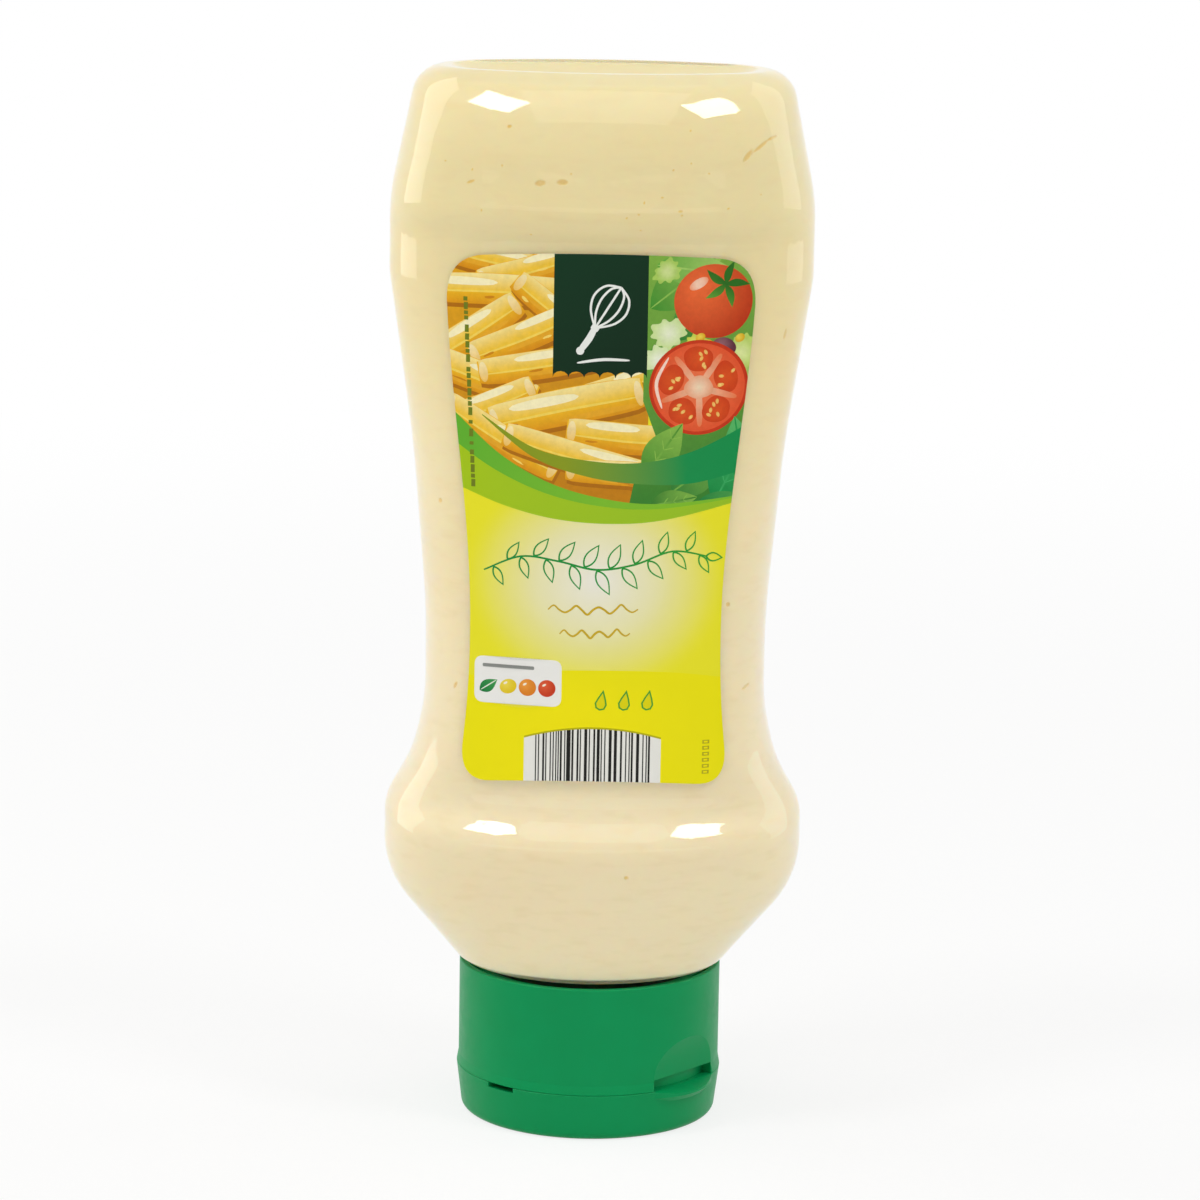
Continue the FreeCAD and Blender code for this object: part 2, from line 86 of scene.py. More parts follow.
def add(tree, kind, inputs=None, **settings):
    """Adds a node with its settings. An input gets a value, or a link from a node's output.

    A node given as a value stands for its first output.
    """
    made = tree.nodes.new("ShaderNode" + kind)
    for name, value in settings.items():
        setattr(made, name, value)
    for name, value in (inputs or {}).items():
        if isinstance(value, bpy.types.Node):
            value = value.outputs[0]
        if isinstance(value, bpy.types.NodeSocket):
            tree.links.new(value, made.inputs[name])
        else:
            made.inputs[name].default_value = value
    return made


def new_material(name):
    """A new material, its node tree, and places in the object's own space for its patterns."""
    made = bpy.data.materials.new(name)
    made.use_nodes = True
    made.node_tree.nodes.clear()
    return made, made.node_tree, add(made.node_tree, "TexCoord").outputs["Object"]


def new_object(name, data):
    """An object in the scene that shows the data."""
    made = bpy.data.objects.new(name, data)
    scene.collection.objects.link(made)
    return made


print("cream white in linear light:", [round(c, 3) for c in linear("f3e4b7")[:3]])

# %% [markdown]
# ## The camera
# A product shot is taken from a little above, with a long lens so that the sides of the
# bottle stay almost parallel. The camera could be aimed with a constraint, but three angles
# say exactly where it looks: turned to the right, tipped down and rolled. The rotation is
# built from its three axes, because a roll is then only a turn of two of them.

# %% Camera
CAMERA_PLACE = Vector((0, -870, 265)) * MM
CAMERA_RIGHT = radians(0.051)
CAMERA_DOWN = radians(10.791)
CAMERA_ROLL = radians(1.0)
CAMERA_SENSOR = 36  # width, in mm
CAMERA_LENS = 140.1  # focal length, in mm

level, drop = cos(CAMERA_DOWN), -sin(CAMERA_DOWN)
forward = Vector((sin(CAMERA_RIGHT) * level, cos(CAMERA_RIGHT) * level, drop))
level_right = forward.cross(Vector((0, 0, 1))).normalized()
level_up = level_right.cross(forward)
camera_right = cos(CAMERA_ROLL) * level_right + sin(CAMERA_ROLL) * level_up
camera_up = cos(CAMERA_ROLL) * level_up - sin(CAMERA_ROLL) * level_right
turn = Matrix((camera_right, camera_up, -forward)).transposed()

camera = new_object("camera", bpy.data.cameras.new("camera"))
camera.data.sensor_width = CAMERA_SENSOR
camera.data.lens = CAMERA_LENS
camera.matrix_world = Matrix.Translation(CAMERA_PLACE) @ turn.to_4x4()
scene.camera = camera
print("camera looks along", [round(c, 4) for c in forward])

# %% [markdown]
# ## The studio
# The bottle stands on a white sweep. That could be lit until it is white, but so much light
# would wash out the bottle, so the floor and the world show the camera white by themselves
# and light the object at a plain level. Mirror-like surfaces see that white too.
# Two softboxes hang high at both sides of the camera. They make the bright patches on the
# bottle's bulge and heel and light what leans back more than what stands upright. A dim sheet
# between them lights the front, and a tall panel at each side, the left one stronger, lights
# the flanks. A low one in front does what a white table does for the lower half.

# %% World and view
scene.view_settings.view_transform = "Standard"
WORLD_LIGHT = 0.40


def white_seen(tree):
    """1 for rays from the camera and from mirror-like or clear surfaces, 0 for the rest."""
    rays = add(tree, "LightPath")
    seen = rays.outputs["Is Camera Ray"]
    for kind in ("Is Glossy Ray", "Is Transmission Ray"):
        seen = add(tree, "Math", {0: seen, 1: rays.outputs[kind]}, operation="MAXIMUM").outputs[0]
    return seen


world = bpy.data.worlds.new("white_sweep")
world.use_nodes = True
scene.world = world
sky = world.node_tree
sky.nodes.clear()
strength = add(sky, "MapRange", {"Value": white_seen(sky), "To Min": WORLD_LIGHT, "To Max": 1.0})
glow = add(sky, "Background", {"Color": (1, 1, 1, 1), "Strength": strength})
add(sky, "OutputWorld", {"Surface": glow})
print("world light:", WORLD_LIGHT)

# %% Softboxes and side panels
AIM = Vector((0, 0, 0.11))  # the middle of the bottle
LAMPS = (  # name, place, width and height, all in metres, and radiance
    ("softbox_left", (-1.16, -0.76, 2.09), 0.60, 0.52, 13.0),
    ("softbox_right", (1.24, -0.84, 2.09), 0.56, 0.56, 11.05),
    ("sheet_between", (0.0, -1.00, 2.09), 1.70, 1.30, 0.75),
    ("side_panel_left", (-0.90, 0.28, 0.45), 0.6, 1.5, 1.3),
    ("side_panel_right", (0.90, 0.28, 0.45), 0.6, 1.5, 0.78),
    ("table_glow", (0.0, -0.42, 0.02), 0.90, 0.24, 0.45),
)
for name, place, width, height, radiance in LAMPS:
    light = bpy.data.lights.new(name, "AREA")
    light.shape = "RECTANGLE"
    light.size, light.size_y = width, height
    light.energy = radiance * pi * width * height
    made = new_object(name, light)
    made.location = place
    made.rotation_mode = "QUATERNION"
    made.rotation_quaternion = (Vector(place) - AIM).to_track_quat("Z", "Y")
print("lamps:", [lamp[0] for lamp in LAMPS])

# %% Floor
FLOOR_SIZE = 12.0
FLOOR_LIFT = 0.78  # how much of the floor that the camera sees is plain white
FADE_FROM, FADE_TO = 0.25, 0.9  # metres from the bottle, where the lit floor turns plain white
PAPER_FIBRES = 900.0  # in a metre, drawn coarse enough to show

mesh = bpy.data.meshes.new("floor")
half = FLOOR_SIZE / 2
corners = [(-half, -half, 0), (half, -half, 0), (half, half, 0), (-half, half, 0)]
mesh.from_pydata(corners, [], [(0, 1, 2, 3)])
floor = new_object("floor", mesh)

paper, tree, here = new_material("white_paper_sweep")
seen = white_seen(tree)
away = add(tree, "VectorMath", {0: here}, operation="LENGTH")
fade = {"Value": away.outputs["Value"], "From Min": FADE_FROM, "From Max": FADE_TO}
far = add(tree, "MapRange", fade, interpolation_type="SMOOTHSTEP")
share = add(tree, "MapRange", {"Value": far, "To Min": FLOOR_LIFT, "To Max": 1.0})
share_seen = add(tree, "Math", {0: share, 1: seen}, operation="MULTIPLY")
fibre = add(tree, "TexNoise", {"Vector": here, "Scale": PAPER_FIBRES, "Detail": 3.0})
papers = {"Factor": fibre, 6: linear("f4f4f2"), 7: linear("fbfbfa")}
paper_tone = add(tree, "Mix", papers, data_type="RGBA")
matt = add(tree, "BsdfDiffuse", {"Color": paper_tone.outputs[2]})
plain_white = add(tree, "Emission", {"Color": (1, 1, 1, 1), "Strength": 1.0})
white_share = {0: share_seen, 1: matt, 2: plain_white}
both = add(tree, "MixShader", white_share)
add(tree, "OutputMaterial", {"Surface": both})
floor.data.materials.append(paper)
print("floor:", FLOOR_SIZE, "m wide")

# %% [markdown]
# ## The bottle: blown PET
# PET (polyethylene terephthalate) is blown into a cold mould, so its skin is bright and clear
# with the faintest waviness. The eye gets sharp reflections of the softboxes and pale rims
# where the wall turns away. Its refractive index is about 1.57. The solid's shape is right as
# it comes, so it only needs the material. A plain glass shader would stop the lamps, because
# they can't find their way through a bent path, so rays from lamps and rays that the cream
# scatters pass straight through.

# %% Clear PET
PET_IOR = 1.57
PET_WAVE = 9 * MM  # distance between the soft waves that blowing leaves in the wall
PET_SCUFF = 14 * MM  # size of the areas that are a little duller
PET_BRIGHT, PET_DULL = 0.03, 0.09  # roughness from the brightest to the dullest

pet, tree, here = new_material("blown_clear_PET")
waves = add(tree, "TexNoise", {"Vector": here, "Scale": 1 / PET_WAVE, "Detail": 1.0})
wavy = add(tree, "Bump", {"Height": waves, "Strength": 0.06, "Distance": 1 * MM})
scuffed = {"Vector": here, "Scale": 1 / PET_SCUFF, "Detail": 5.0, "Roughness": 0.7}
scuffs = add(tree, "TexNoise", scuffed)
dulling = {"Value": scuffs, "From Min": 0.4, "From Max": 0.75}
gloss = add(tree, "MapRange", dulling | {"To Min": PET_BRIGHT, "To Max": PET_DULL})
wall = {"Base Color": linear("fdfefc"), "Roughness": gloss, "IOR": PET_IOR}
wall |= {"Transmission Weight": 1.0, "Normal": wavy}
shell = add(tree, "BsdfPrincipled", wall)
rays = add(tree, "LightPath")
open_way = add(tree, "BsdfTransparent")
for kind in ("Is Diffuse Ray", "Is Shadow Ray"):
    way = {0: rays.outputs[kind], 1: shell, 2: open_way}
    shell = add(tree, "MixShader", way)
add(tree, "OutputMaterial", {"Surface": shell})

SOLIDS["bottle"].data.materials.clear()
SOLIDS["bottle"].data.materials.append(pet)
for face in SOLIDS["bottle"].data.polygons:
    face.use_smooth = True
print("bottle faces:", len(SOLIDS["bottle"].data.polygons))

# %% [markdown]
# ## The mayonnaise
# The cream fills the bottle and clings to its wall, so it takes the wall's inner shape. It is
# built as a net: rays shot from all round at the solid inside the bottle give rows of points
# from the neck to the base. A remesh of the solid would be quicker to write, but its points
# lie at random, while a net follows the shape and lets the pockets of air be cut in cleanly.
# The net is pushed a little into the wall, because with a gap between them the wall would
# look like an empty glass standing round the cream.

# %% Rows of points on the filling
SINK = 0.12 * MM  # how far the cream reaches into the wall
SINK_LEVEL = 0.5 * MM  # and how far where the wall lies level, at the neck and the base
COLUMNS = 240
ROW_STEP = 1.15 * MM
TOP_STEP = 0.35 * MM  # closer rows round the heel
EDGE_STEP = 0.2 * MM  # and still closer ones just above the cap's rim
HEEL = 7 * MM  # height of the heel
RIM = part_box("cap_body")[1].z
EDGE_FROM, EDGE_TO = RIM + 0.2 * MM, RIM + 3.6 * MM
CREAM_LOW, CREAM_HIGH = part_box("mayonnaise")
filling = SOLIDS["mayonnaise"].data
filling_points = [v.co for v in filling.vertices]
cream_tree = BVHTree.FromPolygons(filling_points, [p.vertices for p in filling.polygons])
TURNS = [2 * pi * i / COLUMNS for i in range(COLUMNS)]
WAYS = [Vector((cos(a), sin(a), 0)) for a in TURNS]


def on_wall(start, way):
    """Where a ray meets the filling's surface, pushed out into the wall."""
    place, normal, _, _ = cream_tree.ray_cast(start, way)
    n = normal.normalized()
    return place + n * (SINK + (SINK_LEVEL - SINK) * n.z**2)


def ring(height):
    """Points round the filling at one height."""
    middle = Vector((0, 0, height))
    return [on_wall(way * 0.1 + middle, -way) for way in WAYS]


def end_ring(edge, share, below):
    """Points on an end of the filling, at a share of the way out from the axis to its edge."""
    outside = CREAM_LOW.z - 0.01 if below else CREAM_HIGH.z + 0.05
    way = Vector((0, 0, 1 if below else -1))
    return [on_wall(Vector((p.x * share, p.y * share, outside)), way) for p in edge]


LOW_SHARES = (0.35, 0.7, 0.97)
TOP_SHARES = (0.985, 0.965, 0.945, 0.92, 0.89, 0.86, 0.82, 0.77, 0.7, 0.6, 0.48, 0.34, 0.18)
heights = []
height = CREAM_LOW.z + 0.3 * MM
while height < CREAM_HIGH.z - 1.2 * MM:
    heights.append(height)
    if EDGE_FROM < height < EDGE_TO:
        height += EDGE_STEP
    else:
        height += ROW_STEP if height < CREAM_HIGH.z - HEEL else TOP_STEP
sides = [ring(h) for h in heights]
bottom = [end_ring(sides[0], share, True) for share in LOW_SHARES]
top = [end_ring(sides[-1], share, False) for share in TOP_SHARES]
rows = bottom + sides + top
print("filling rows:", len(rows), "up to", round(heights[-1] / MM, 1), "mm")

# %% Net of the filling
points = [p for row in rows for p in row]
faces = []
pairs = [(c, (c + 1) % COLUMNS) for c in range(COLUMNS)]
for low in range(0, (len(rows) - 1) * COLUMNS, COLUMNS):
    high = low + COLUMNS
    faces += [(low + c, low + d, high + d, high + c) for c, d in pairs]
for row, way in ((0, -1), (len(rows) - 1, 1)):
    middle, start = len(points), row * COLUMNS
    points.append(sum(rows[row], Vector()) / COLUMNS)
    faces += [(*[start + i for i in pair[::way]], middle) for pair in pairs]
cream_mesh = bpy.data.meshes.new("mayonnaise_filling")
cream_mesh.from_pydata(points, [], faces)
cream = new_object("mayonnaise_filling", cream_mesh)
print("filling:", len(points), "points,", len(faces), "faces")

# %% [markdown]
# ### Pockets of air
# Air that was stirred in ends up between the cream and the wall, as small ovals and dots of
# darker yellow. They could be painted on alone, but real hollows catch the light properly. So
# the net is divided more finely near each pocket, and its points there are pressed inwards.
# Each pocket is also marked, and the cream's material paints it a darker yellow towards its
# middle: painted shade of the hollow, on top of the real one.

# %% Pockets of air: where they are and their size
# x and height of the middle, half length, half width, turn in degrees and depth, all in mm
POCKETS = [
    (-11.3, 180.7, 0.9, 0.55, 10, 0.5),
    (-7.3, 181.0, 1.0, 0.5, 0, 0.5),
    (-23.9, 180.4, 0.8, 0.25, 20, 0.25),
    (26.1, 185.8, 1.3, 0.45, 50, 0.5),
    (28.4, 187.4, 1.9, 0.3, 38, 0.35),
    (30.4, 188.7, 1.2, 0.25, 30, 0.3),
    (33.7, 152.2, 1.0, 0.35, 70, 0.4),
    (-28.8, 120.5, 0.45, 0.4, 0, 0.4),
    (24.3, 102.4, 0.4, 0.4, 0, 0.5),
    (27.8, 86.1, 1.2, 0.35, 15, 0.35),
    (-25.6, 86.0, 0.7, 0.3, 60, 0.3),
    (-17.0, 190.5, 0.4, 0.3, 0, 0.3),
    (14.0, 176.0, 0.45, 0.2, 0, 0.2),
    (6.5, 52.0, 0.4, 0.35, 0, 0.3),
    (-20.0, 60.5, 0.5, 0.3, 30, 0.3),
]
rng = random.Random(7)
SPECK = 0.16  # half width of the smallest
SPECK_DEPTH = 0.12
for _ in range(18):
    side = rng.choice((-1, 1))
    x, h = side * rng.uniform(3, 30), rng.uniform(170, 192)
    POCKETS.append((x, h, rng.uniform(SPECK, 0.3), SPECK, rng.uniform(0, 180), SPECK_DEPTH))
BACK_POCKETS = [(-p[0] * 0.8, p[1] - 3.0, p[2], p[3], -p[4], p[5]) for p in POCKETS[:12]]
print("pockets:", len(POCKETS), "in front and", len(BACK_POCKETS), "behind")


# %% Where the pockets lie on the filling
def eased(t):
    """0 to 1 with level ends."""
    t = min(max(t, 0.0), 1.0)
    return t * t * (3 - 2 * t)


PRESS_REACH = 1.7  # the net is divided out to this many times a pocket's size
PRESS_DEPTH = 0.45  # share of a pocket's depth that is pressed in
PRESS_EDGE = 1.25  # where a pocket's edge ends, as a share of its size

net = bmesh.new()
net.from_mesh(cream_mesh)
# mark of each pocket, which the cream's material turns into painted shade
air = net.verts.layers.float.new("air")
hollows = []
for pockets, from_front in ((POCKETS, True), (BACK_POCKETS, False)):
    for x, h, half_long, half_short, degrees, depth in pockets:
        start = Vector((x * MM, -0.1 if from_front else 0.1, h * MM))
        place, normal, _, _ = cream_tree.ray_cast(start, Vector((0, 1 if from_front else -1, 0)))
        across = Vector((1, 0, 0)) - normal * normal.x
        across.normalize()
        upward = normal.cross(across) * (1 if from_front else -1)
        upward = -upward if upward.z < 0 else upward
        a = radians(degrees)
        long_way = across * cos(a) + upward * sin(a)
        short_way = upward * cos(a) - across * sin(a)
        ways = (place, normal, long_way, short_way)
        hollows.append(ways + (half_long * MM, half_short * MM, depth * MM))
print("pockets placed:", len(hollows))

# %% Divide the net there and press it in
for _ in range(2):
    near = set()
    for place, _, _, _, half_long, _, _ in hollows:
        reach = half_long * PRESS_REACH + (0.5 if near else 0.9) * MM
        for face in net.faces:
            if (face.calc_center_median() - place).length < reach:
                near.update(face.edges)
    bmesh.ops.subdivide_edges(net, edges=list(near), cuts=2, use_grid_fill=True)
for place, normal, long_way, short_way, half_long, half_short, depth in hollows:
    for v in net.verts:
        d = v.co - place
        if d.length > half_long * 2:
            continue
        out = hypot(d.dot(long_way) / half_long, d.dot(short_way) / half_short)
        if out < PRESS_EDGE:
            share = min(1.0, (PRESS_EDGE - out) / 0.5)
            v.co -= normal * depth * PRESS_DEPTH * eased(share)
            v[air] = max(v[air], share)
net.normal_update()
net.to_mesh(cream_mesh)
net.free()
for face in cream_mesh.polygons:
    face.use_smooth = True
print("filling with pockets:", len(cream_mesh.polygons), "faces")

# %% [markdown]
# ### The cream itself
# Mayonnaise is oil beaten into egg yolk and vinegar, in drops of a few thousandths of a
# millimetre. Light goes a little way in and comes out warmer, so its edges look soft and its
# shaded side looks more yellow than its bright side. That is subsurface scattering. Slow
# noise gives it the paler and yellower clouds that filling leaves. The neck stands in the
# cap's sleeve, where no light comes, so the cream there is given the green dark of that gap.

# %% Mayonnaise
CREAM_CLOUD = 26 * MM
CREAM_STREAK = 5 * MM
NECK_DARK, NECK_LIGHT = RIM + 0.4 * MM, RIM + 1.3 * MM  # heights between which light comes in
CREAM_DEPTH = 2.4 * MM  # how far red light travels in it
SHADE_LOW, SHADE_HIGH = 60 * MM, 180 * MM  # painted shade: the cream grows slightly darker and yellower between these heights

mayonnaise, tree, here = new_material("mayonnaise_cream")
cloud = add(tree, "TexNoise", {"Vector": here, "Scale": 1 / CREAM_CLOUD, "Detail": 2.0})
flat_way = add(tree, "Mapping", {"Vector": here, "Scale": (1, 1, 3.2)})
fine = {"Vector": flat_way, "Scale": 1 / CREAM_STREAK, "Detail": 4.0}
streak = add(tree, "TexNoise", fine)
clouds = {"Factor": cloud, 6: linear("ffebc8"), 7: linear("ffe3b8")}
cloudy = add(tree, "Mix", clouds, data_type="RGBA")
height = add(tree, "SeparateXYZ", {0: here}).outputs[2]
# Painted shade: the cream is made darker and yellower towards the bottle's base, which stands at
# the top.
rise = {"Value": height, "From Min": SHADE_LOW, "From Max": SHADE_HIGH}
painted_upper_shade = add(tree, "MapRange", rise, interpolation_type="SMOOTHSTEP")
upper_shade_tones = {"Factor": painted_upper_shade, 6: (1, 1, 1, 1), 7: linear("f3fae5")}
upper_shaded_tone = add(tree, "Mix", upper_shade_tones, data_type="RGBA")
two = {"Factor": 1.0, 6: cloudy.outputs[2], 7: upper_shaded_tone.outputs[2]}
tone = add(tree, "Mix", two, data_type="RGBA", blend_type="MULTIPLY")
streaks = {"Value": streak, "From Min": 0.5, "From Max": 0.8, "To Max": 0.3}
streak_share = add(tree, "MapRange", streaks)
# Painted shade: the cream turns a darker yellow towards the middle of each air pocket.
air_seen = add(tree, "Attribute", attribute_name="air")
pocket_painted_shade = add(tree, "Math", {0: air_seen.outputs["Fac"], 1: 0.75}, operation="MULTIPLY")
shade = {"Value": height, "From Min": NECK_LIGHT, "From Max": NECK_DARK}
in_neck = add(tree, "MapRange", shade)
for share, code in ((streak_share, "ead39a"), (pocket_painted_shade, "ecc956"), (in_neck, "1d2a14")):
    over = {"Factor": share, 6: tone.outputs[2], 7: linear(code)}
    tone = add(tree, "Mix", over, data_type="RGBA")
skin = add(tree, "Bump", {"Height": streak, "Strength": 0.15, "Distance": 0.3 * MM})
cream_body = {"Base Color": tone.outputs[2], "Roughness": 0.45, "IOR": 1.46}
cream_body |= {"Specular IOR Level": 0.15, "Subsurface Weight": 0.8, "Normal": skin}
cream_body |= {"Subsurface Radius": (1.0, 0.72, 0.38), "Subsurface Scale": CREAM_DEPTH}
flesh = add(tree, "BsdfPrincipled", cream_body)
add(tree, "OutputMaterial", {"Surface": flesh})
cream_mesh.materials.append(mayonnaise)
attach(cream, "root")
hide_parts("mayonnaise")
print("cream reaches", round(SINK / MM, 2), "mm into the wall")

# %% [markdown]
# ## The labels: printed film
# A thin white plastic film is printed, cut out and pressed onto the flat panels. The print
# could be an image, but shapes drawn in the mesh itself stay sharp at any distance and need
# no file. So every field of ink is an outline in millimetres on the flat label. Outlines are
# painted in order, as in a paint program: the last one on top wins. One triangulation cuts
# the label along all of them, and each corner of each triangle gets the colour of its ink.
# The flat result is then wrapped onto the panel's curve and given its thickness.

# %% Outline of the label
LABEL_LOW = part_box("label_front")[0]
PANEL_RADIUS = 58.17  # of the label's outer face, in mm
PANEL_CENTRE = LABEL_LOW.y / MM + PANEL_RADIUS
FILM = 0.13  # thickness in mm, a hair less than the solid's
LOW_CORNER, HIGH_CORNER = 68.1, 166.3  # heights in mm
LOW_ROUND, HIGH_ROUND = 6.3, 5.6  # how far the round corners reach
ARCH = 1.6  # both edges arch up by this
NARROW = 23.25  # half width at the waist
FLARED, FLARE_FROM, FLARE_RUN = 5.35, 98, 69.9  # how much wider at the top, and from where
SPREAD, SPREAD_FROM, SPREAD_RUN = 1.35, 96, 22  # and how much wider under the waist


def half_width(h):
    """Half width of the label at a height in mm."""
    low = max(0.0, (SPREAD_FROM - h) / SPREAD_RUN)
    return NARROW + FLARED * eased((h - FLARE_FROM) / FLARE_RUN) + SPREAD * low**2


def curve(first, corner, last, shares):
    """Points of a curve from first to last that leans towards the corner."""
    a, b, c = Vector(first), Vector(corner), Vector(last)
    return [tuple(a * (1 - t) ** 2 + b * (2 * t * (1 - t)) + c * t**2) for t in shares]


def film_outline():
    """The label's outline, counter-clockwise from the middle of its lower edge."""
    heights = [LOW_CORNER + (HIGH_CORNER - LOW_CORNER) * i / 24 for i in range(25)]
    right = [(half_width(h), h) for h in heights]
    left = [(-x, h) for x, h in reversed(right)]
    across = [i / 12 - 1 for i in range(1, 24)]
    top = [(-x * right[-1][0], HIGH_CORNER + ARCH * (1 - x * x)) for x in across]
    low = [(x * right[0][0], LOW_CORNER + ARCH * (1 - x * x)) for x in across]
    whole = low[11:] + right + top + left + low[:11]
    corners = (right[0], right[-1], left[0], left[-1])
    for corner, reach in zip(corners, (LOW_ROUND, HIGH_ROUND, HIGH_ROUND, LOW_ROUND)):
        near = [i for i, p in enumerate(whole) if dist(p, corner) < reach]
        start, end = near[0], near[-1] + 1
        arc = curve(whole[start - 1], corner, whole[end], [k / 12 for k in range(1, 12)])
        whole = whole[:start] + arc + whole[end:]
    return whole


FILM_OUTLINE = film_outline()
print("label outline:", len(FILM_OUTLINE), "points")

# %% [markdown]
# ### Inks
# An ink is a small function from a place on the label to a colour. A flat field has one
# colour, and a printed picture of food has colours that run into each other: along a line,
# as on the side of a fry, or outwards from a point, as on a tomato.

# %% Inks
EDGE_GROUND = "ede628"
LOW_GROUND = "f7e902"
GLOW_HEIGHT, GLOW_ACROSS, GLOW_TALL = 107.5, 19.0, 17.0  # of the pale glow, in mm


def flat(code):
    """One colour all over."""
    colour = linear(code)
    return lambda x, h: colour


def mixed(a, b, t):
    """A colour part of the way from a to b."""
    t = min(max(t, 0.0), 1.0)
    return tuple(p + (q - p) * t for p, q in zip(a, b))


def along(first, last, start, end):
    """Runs from the first colour at start to the last colour at end."""
    a, b = linear(first), linear(last)
    start, end = Vector(start), Vector(end)
    way = (end - start) / (end - start).length_squared
    return lambda x, h: mixed(a, b, (Vector((x, h)) - start).dot(way))


def around(inner, outer, middle, radius, begin=0.0):
    """Runs from the inner colour out to the outer one at a radius."""
    a, b = linear(inner), linear(outer)
    return lambda x, h: mixed(a, b, (dist((x, h), middle) / radius - begin) / (1 - begin))


def ground(x, h):
    """The yellow field, which fades to a pale glow round its middle."""
    near = hypot(x / GLOW_ACROSS, (h - GLOW_HEIGHT) / GLOW_TALL)
    pale = mixed(linear("f1eee2"), linear("ede7a0"), near / 0.75)
    return mixed(pale, linear(EDGE_GROUND), eased((near - 0.55) / 0.75))


print("inks: flat, along, around and the glowing ground")

# %% [markdown]
# ### Drawing tools
# Four outlines make nearly all of the print: a smooth ribbon along a line, an oval, a leaf
# and a bar. Each returns plain points, so any of them can be filled with any ink.


# %% Ribbon and oval
def smooth_line(points, steps=8):
    """A smooth line through the points (Catmull-Rom)."""
    line = []
    padded = [points[0]] + list(points) + [points[-1]]
    for i in range(len(points) - 1):
        a, b, c, d = [Vector(q) for q in padded[i : i + 4]]
        for k in range(steps):
            t = k / steps
            bent = (2 * a - 5 * b + 4 * c - d) * t**2 + (3 * b - a - 3 * c + d) * t**3
            line.append(0.5 * (2 * b + (c - a) * t + bent))
    return line + [Vector(points[-1])]


def ribbon(points, width, tip=0.25, steps=8):
    """A stroke along the points, thinner towards both ends."""
    line = smooth_line(points, steps)
    left, right = [], []
    for i, p in enumerate(line):
        ahead = (line[min(i + 1, len(line) - 1)] - line[max(i - 1, 0)]).normalized()
        out = Vector((-ahead.y, ahead.x))
        share = i / (len(line) - 1)
        w = width / 2 * (tip + (1 - tip) * sin(pi * share) ** 0.5)
        left.append(tuple(p + out * w))
        right.append(tuple(p - out * w))
    return right + left[::-1]


def placed(points, x, h, degrees=0.0):
    """Points about the origin, turned and moved to their place."""
    c, s = cos(radians(degrees)), sin(radians(degrees))
    return [(x + p[0] * c - p[1] * s, h + p[0] * s + p[1] * c) for p in points]


def toward(x, h, distance, degrees):
    """The point at a distance from (x, h) in a direction."""
    a = radians(degrees)
    return x + distance * cos(a), h + distance * sin(a)


def oval(x, h, across, tall, degrees=0.0, count=40, wobble=0.0, seed=0):
    """An oval. Wobble makes its edge uneven by that share."""
    rng = random.Random(seed)
    phases = [rng.uniform(0, 6.28) for _ in range(4)]
    points = []
    for i in range(count):
        a = 2 * pi * i / count
        r = 1 + wobble * sum(sin(a * (k + 2) + phases[k]) / (k + 1) for k in range(4))
        points.append((across * r * cos(a), tall * r * sin(a)))
    return placed(points, x, h, degrees)


print("an oval has", len(oval(0, 0, 2, 1)), "points")


# %% Leaf, bar and frill
def leaf(x, h, length, width, degrees, bend=0.0):
    """A pointed leaf from its stalk at (x, h)."""
    upper, lower = [], []
    for i in range(15):
        t = i / 14
        rise = sin(pi * t**0.8) * width / 2
        sag = bend * sin(pi * t)
        upper.append((length * t, sag + rise))
        lower.append((length * t, sag - rise))
    return placed(lower + upper[-2:0:-1], x, h, degrees)


def bar(x, h, length, width, radius=0.0):
    """A level bar about its middle, with sharp or round corners."""
    a, b = length / 2, width / 2
    points = [(-a, -b), (a, -b), (a, b), (-a, b)]
    if radius:
        sharp, points = [Vector(p) for p in points], []
        for i, p in enumerate(sharp):
            before, after = (sharp[i - 1] - p).normalized(), (sharp[(i + 1) % 4] - p).normalized()
            ends = p + before * radius, p + after * radius
            points += curve(ends[0], p, ends[1], [k / 5 for k in range(6)])
    return placed(points, x, h)


def frilly(x, h, size, degrees, seed):
    """A curly piece of lettuce: a blob whose edge is full of frills."""
    rng = random.Random(seed)
    points = []
    count = 60
    for i in range(count):
        a = 2 * pi * i / count
        frill = 0.13 * sin(9 * a + rng.uniform(-0.3, 0.3))
        r = size * (1 + frill + 0.12 * sin(3 * a + seed))
        points.append((r * cos(a) * 1.25, r * sin(a)))
    return placed(points, x, h, degrees)


print("a leaf has", len(leaf(0, 0, 5, 2, 0)), "points")

# %% [markdown]
# ### The picture: fries and salad
# The upper half of the label shows food: fries on the left and salad on the right. Each fry
# is a few uneven fields: a pale top, a golden side and a browned edge. They lie across each
# other.

# %% The list of fields and the grounds
PRINT = []  # (outline, ink), painted in this order


def paint(outline, ink):
    """Adds a field of ink, or of one hex colour, its outline turned counter-clockwise."""
    ink = flat(ink) if isinstance(ink, str) else ink
    area = sum(a[0] * b[1] - b[0] * a[1] for a, b in zip(outline, outline[1:] + outline[:1]))
    PRINT.append((outline if area > 0 else outline[::-1], ink))


def tally():
    """Says how far the print has come."""
    print("fields of ink:", len(PRINT))


WHOLE_LABEL = [(-30, 60), (30, 60), (30, 170), (-30, 170)]
paint(WHOLE_LABEL, ground)
fry_ground = along("c47f10", "e3a51c", (0, 124), (-8, 168))
paint([(-30, 118), (9, 118), (9, 170), (-30, 170)], fry_ground)

tally()

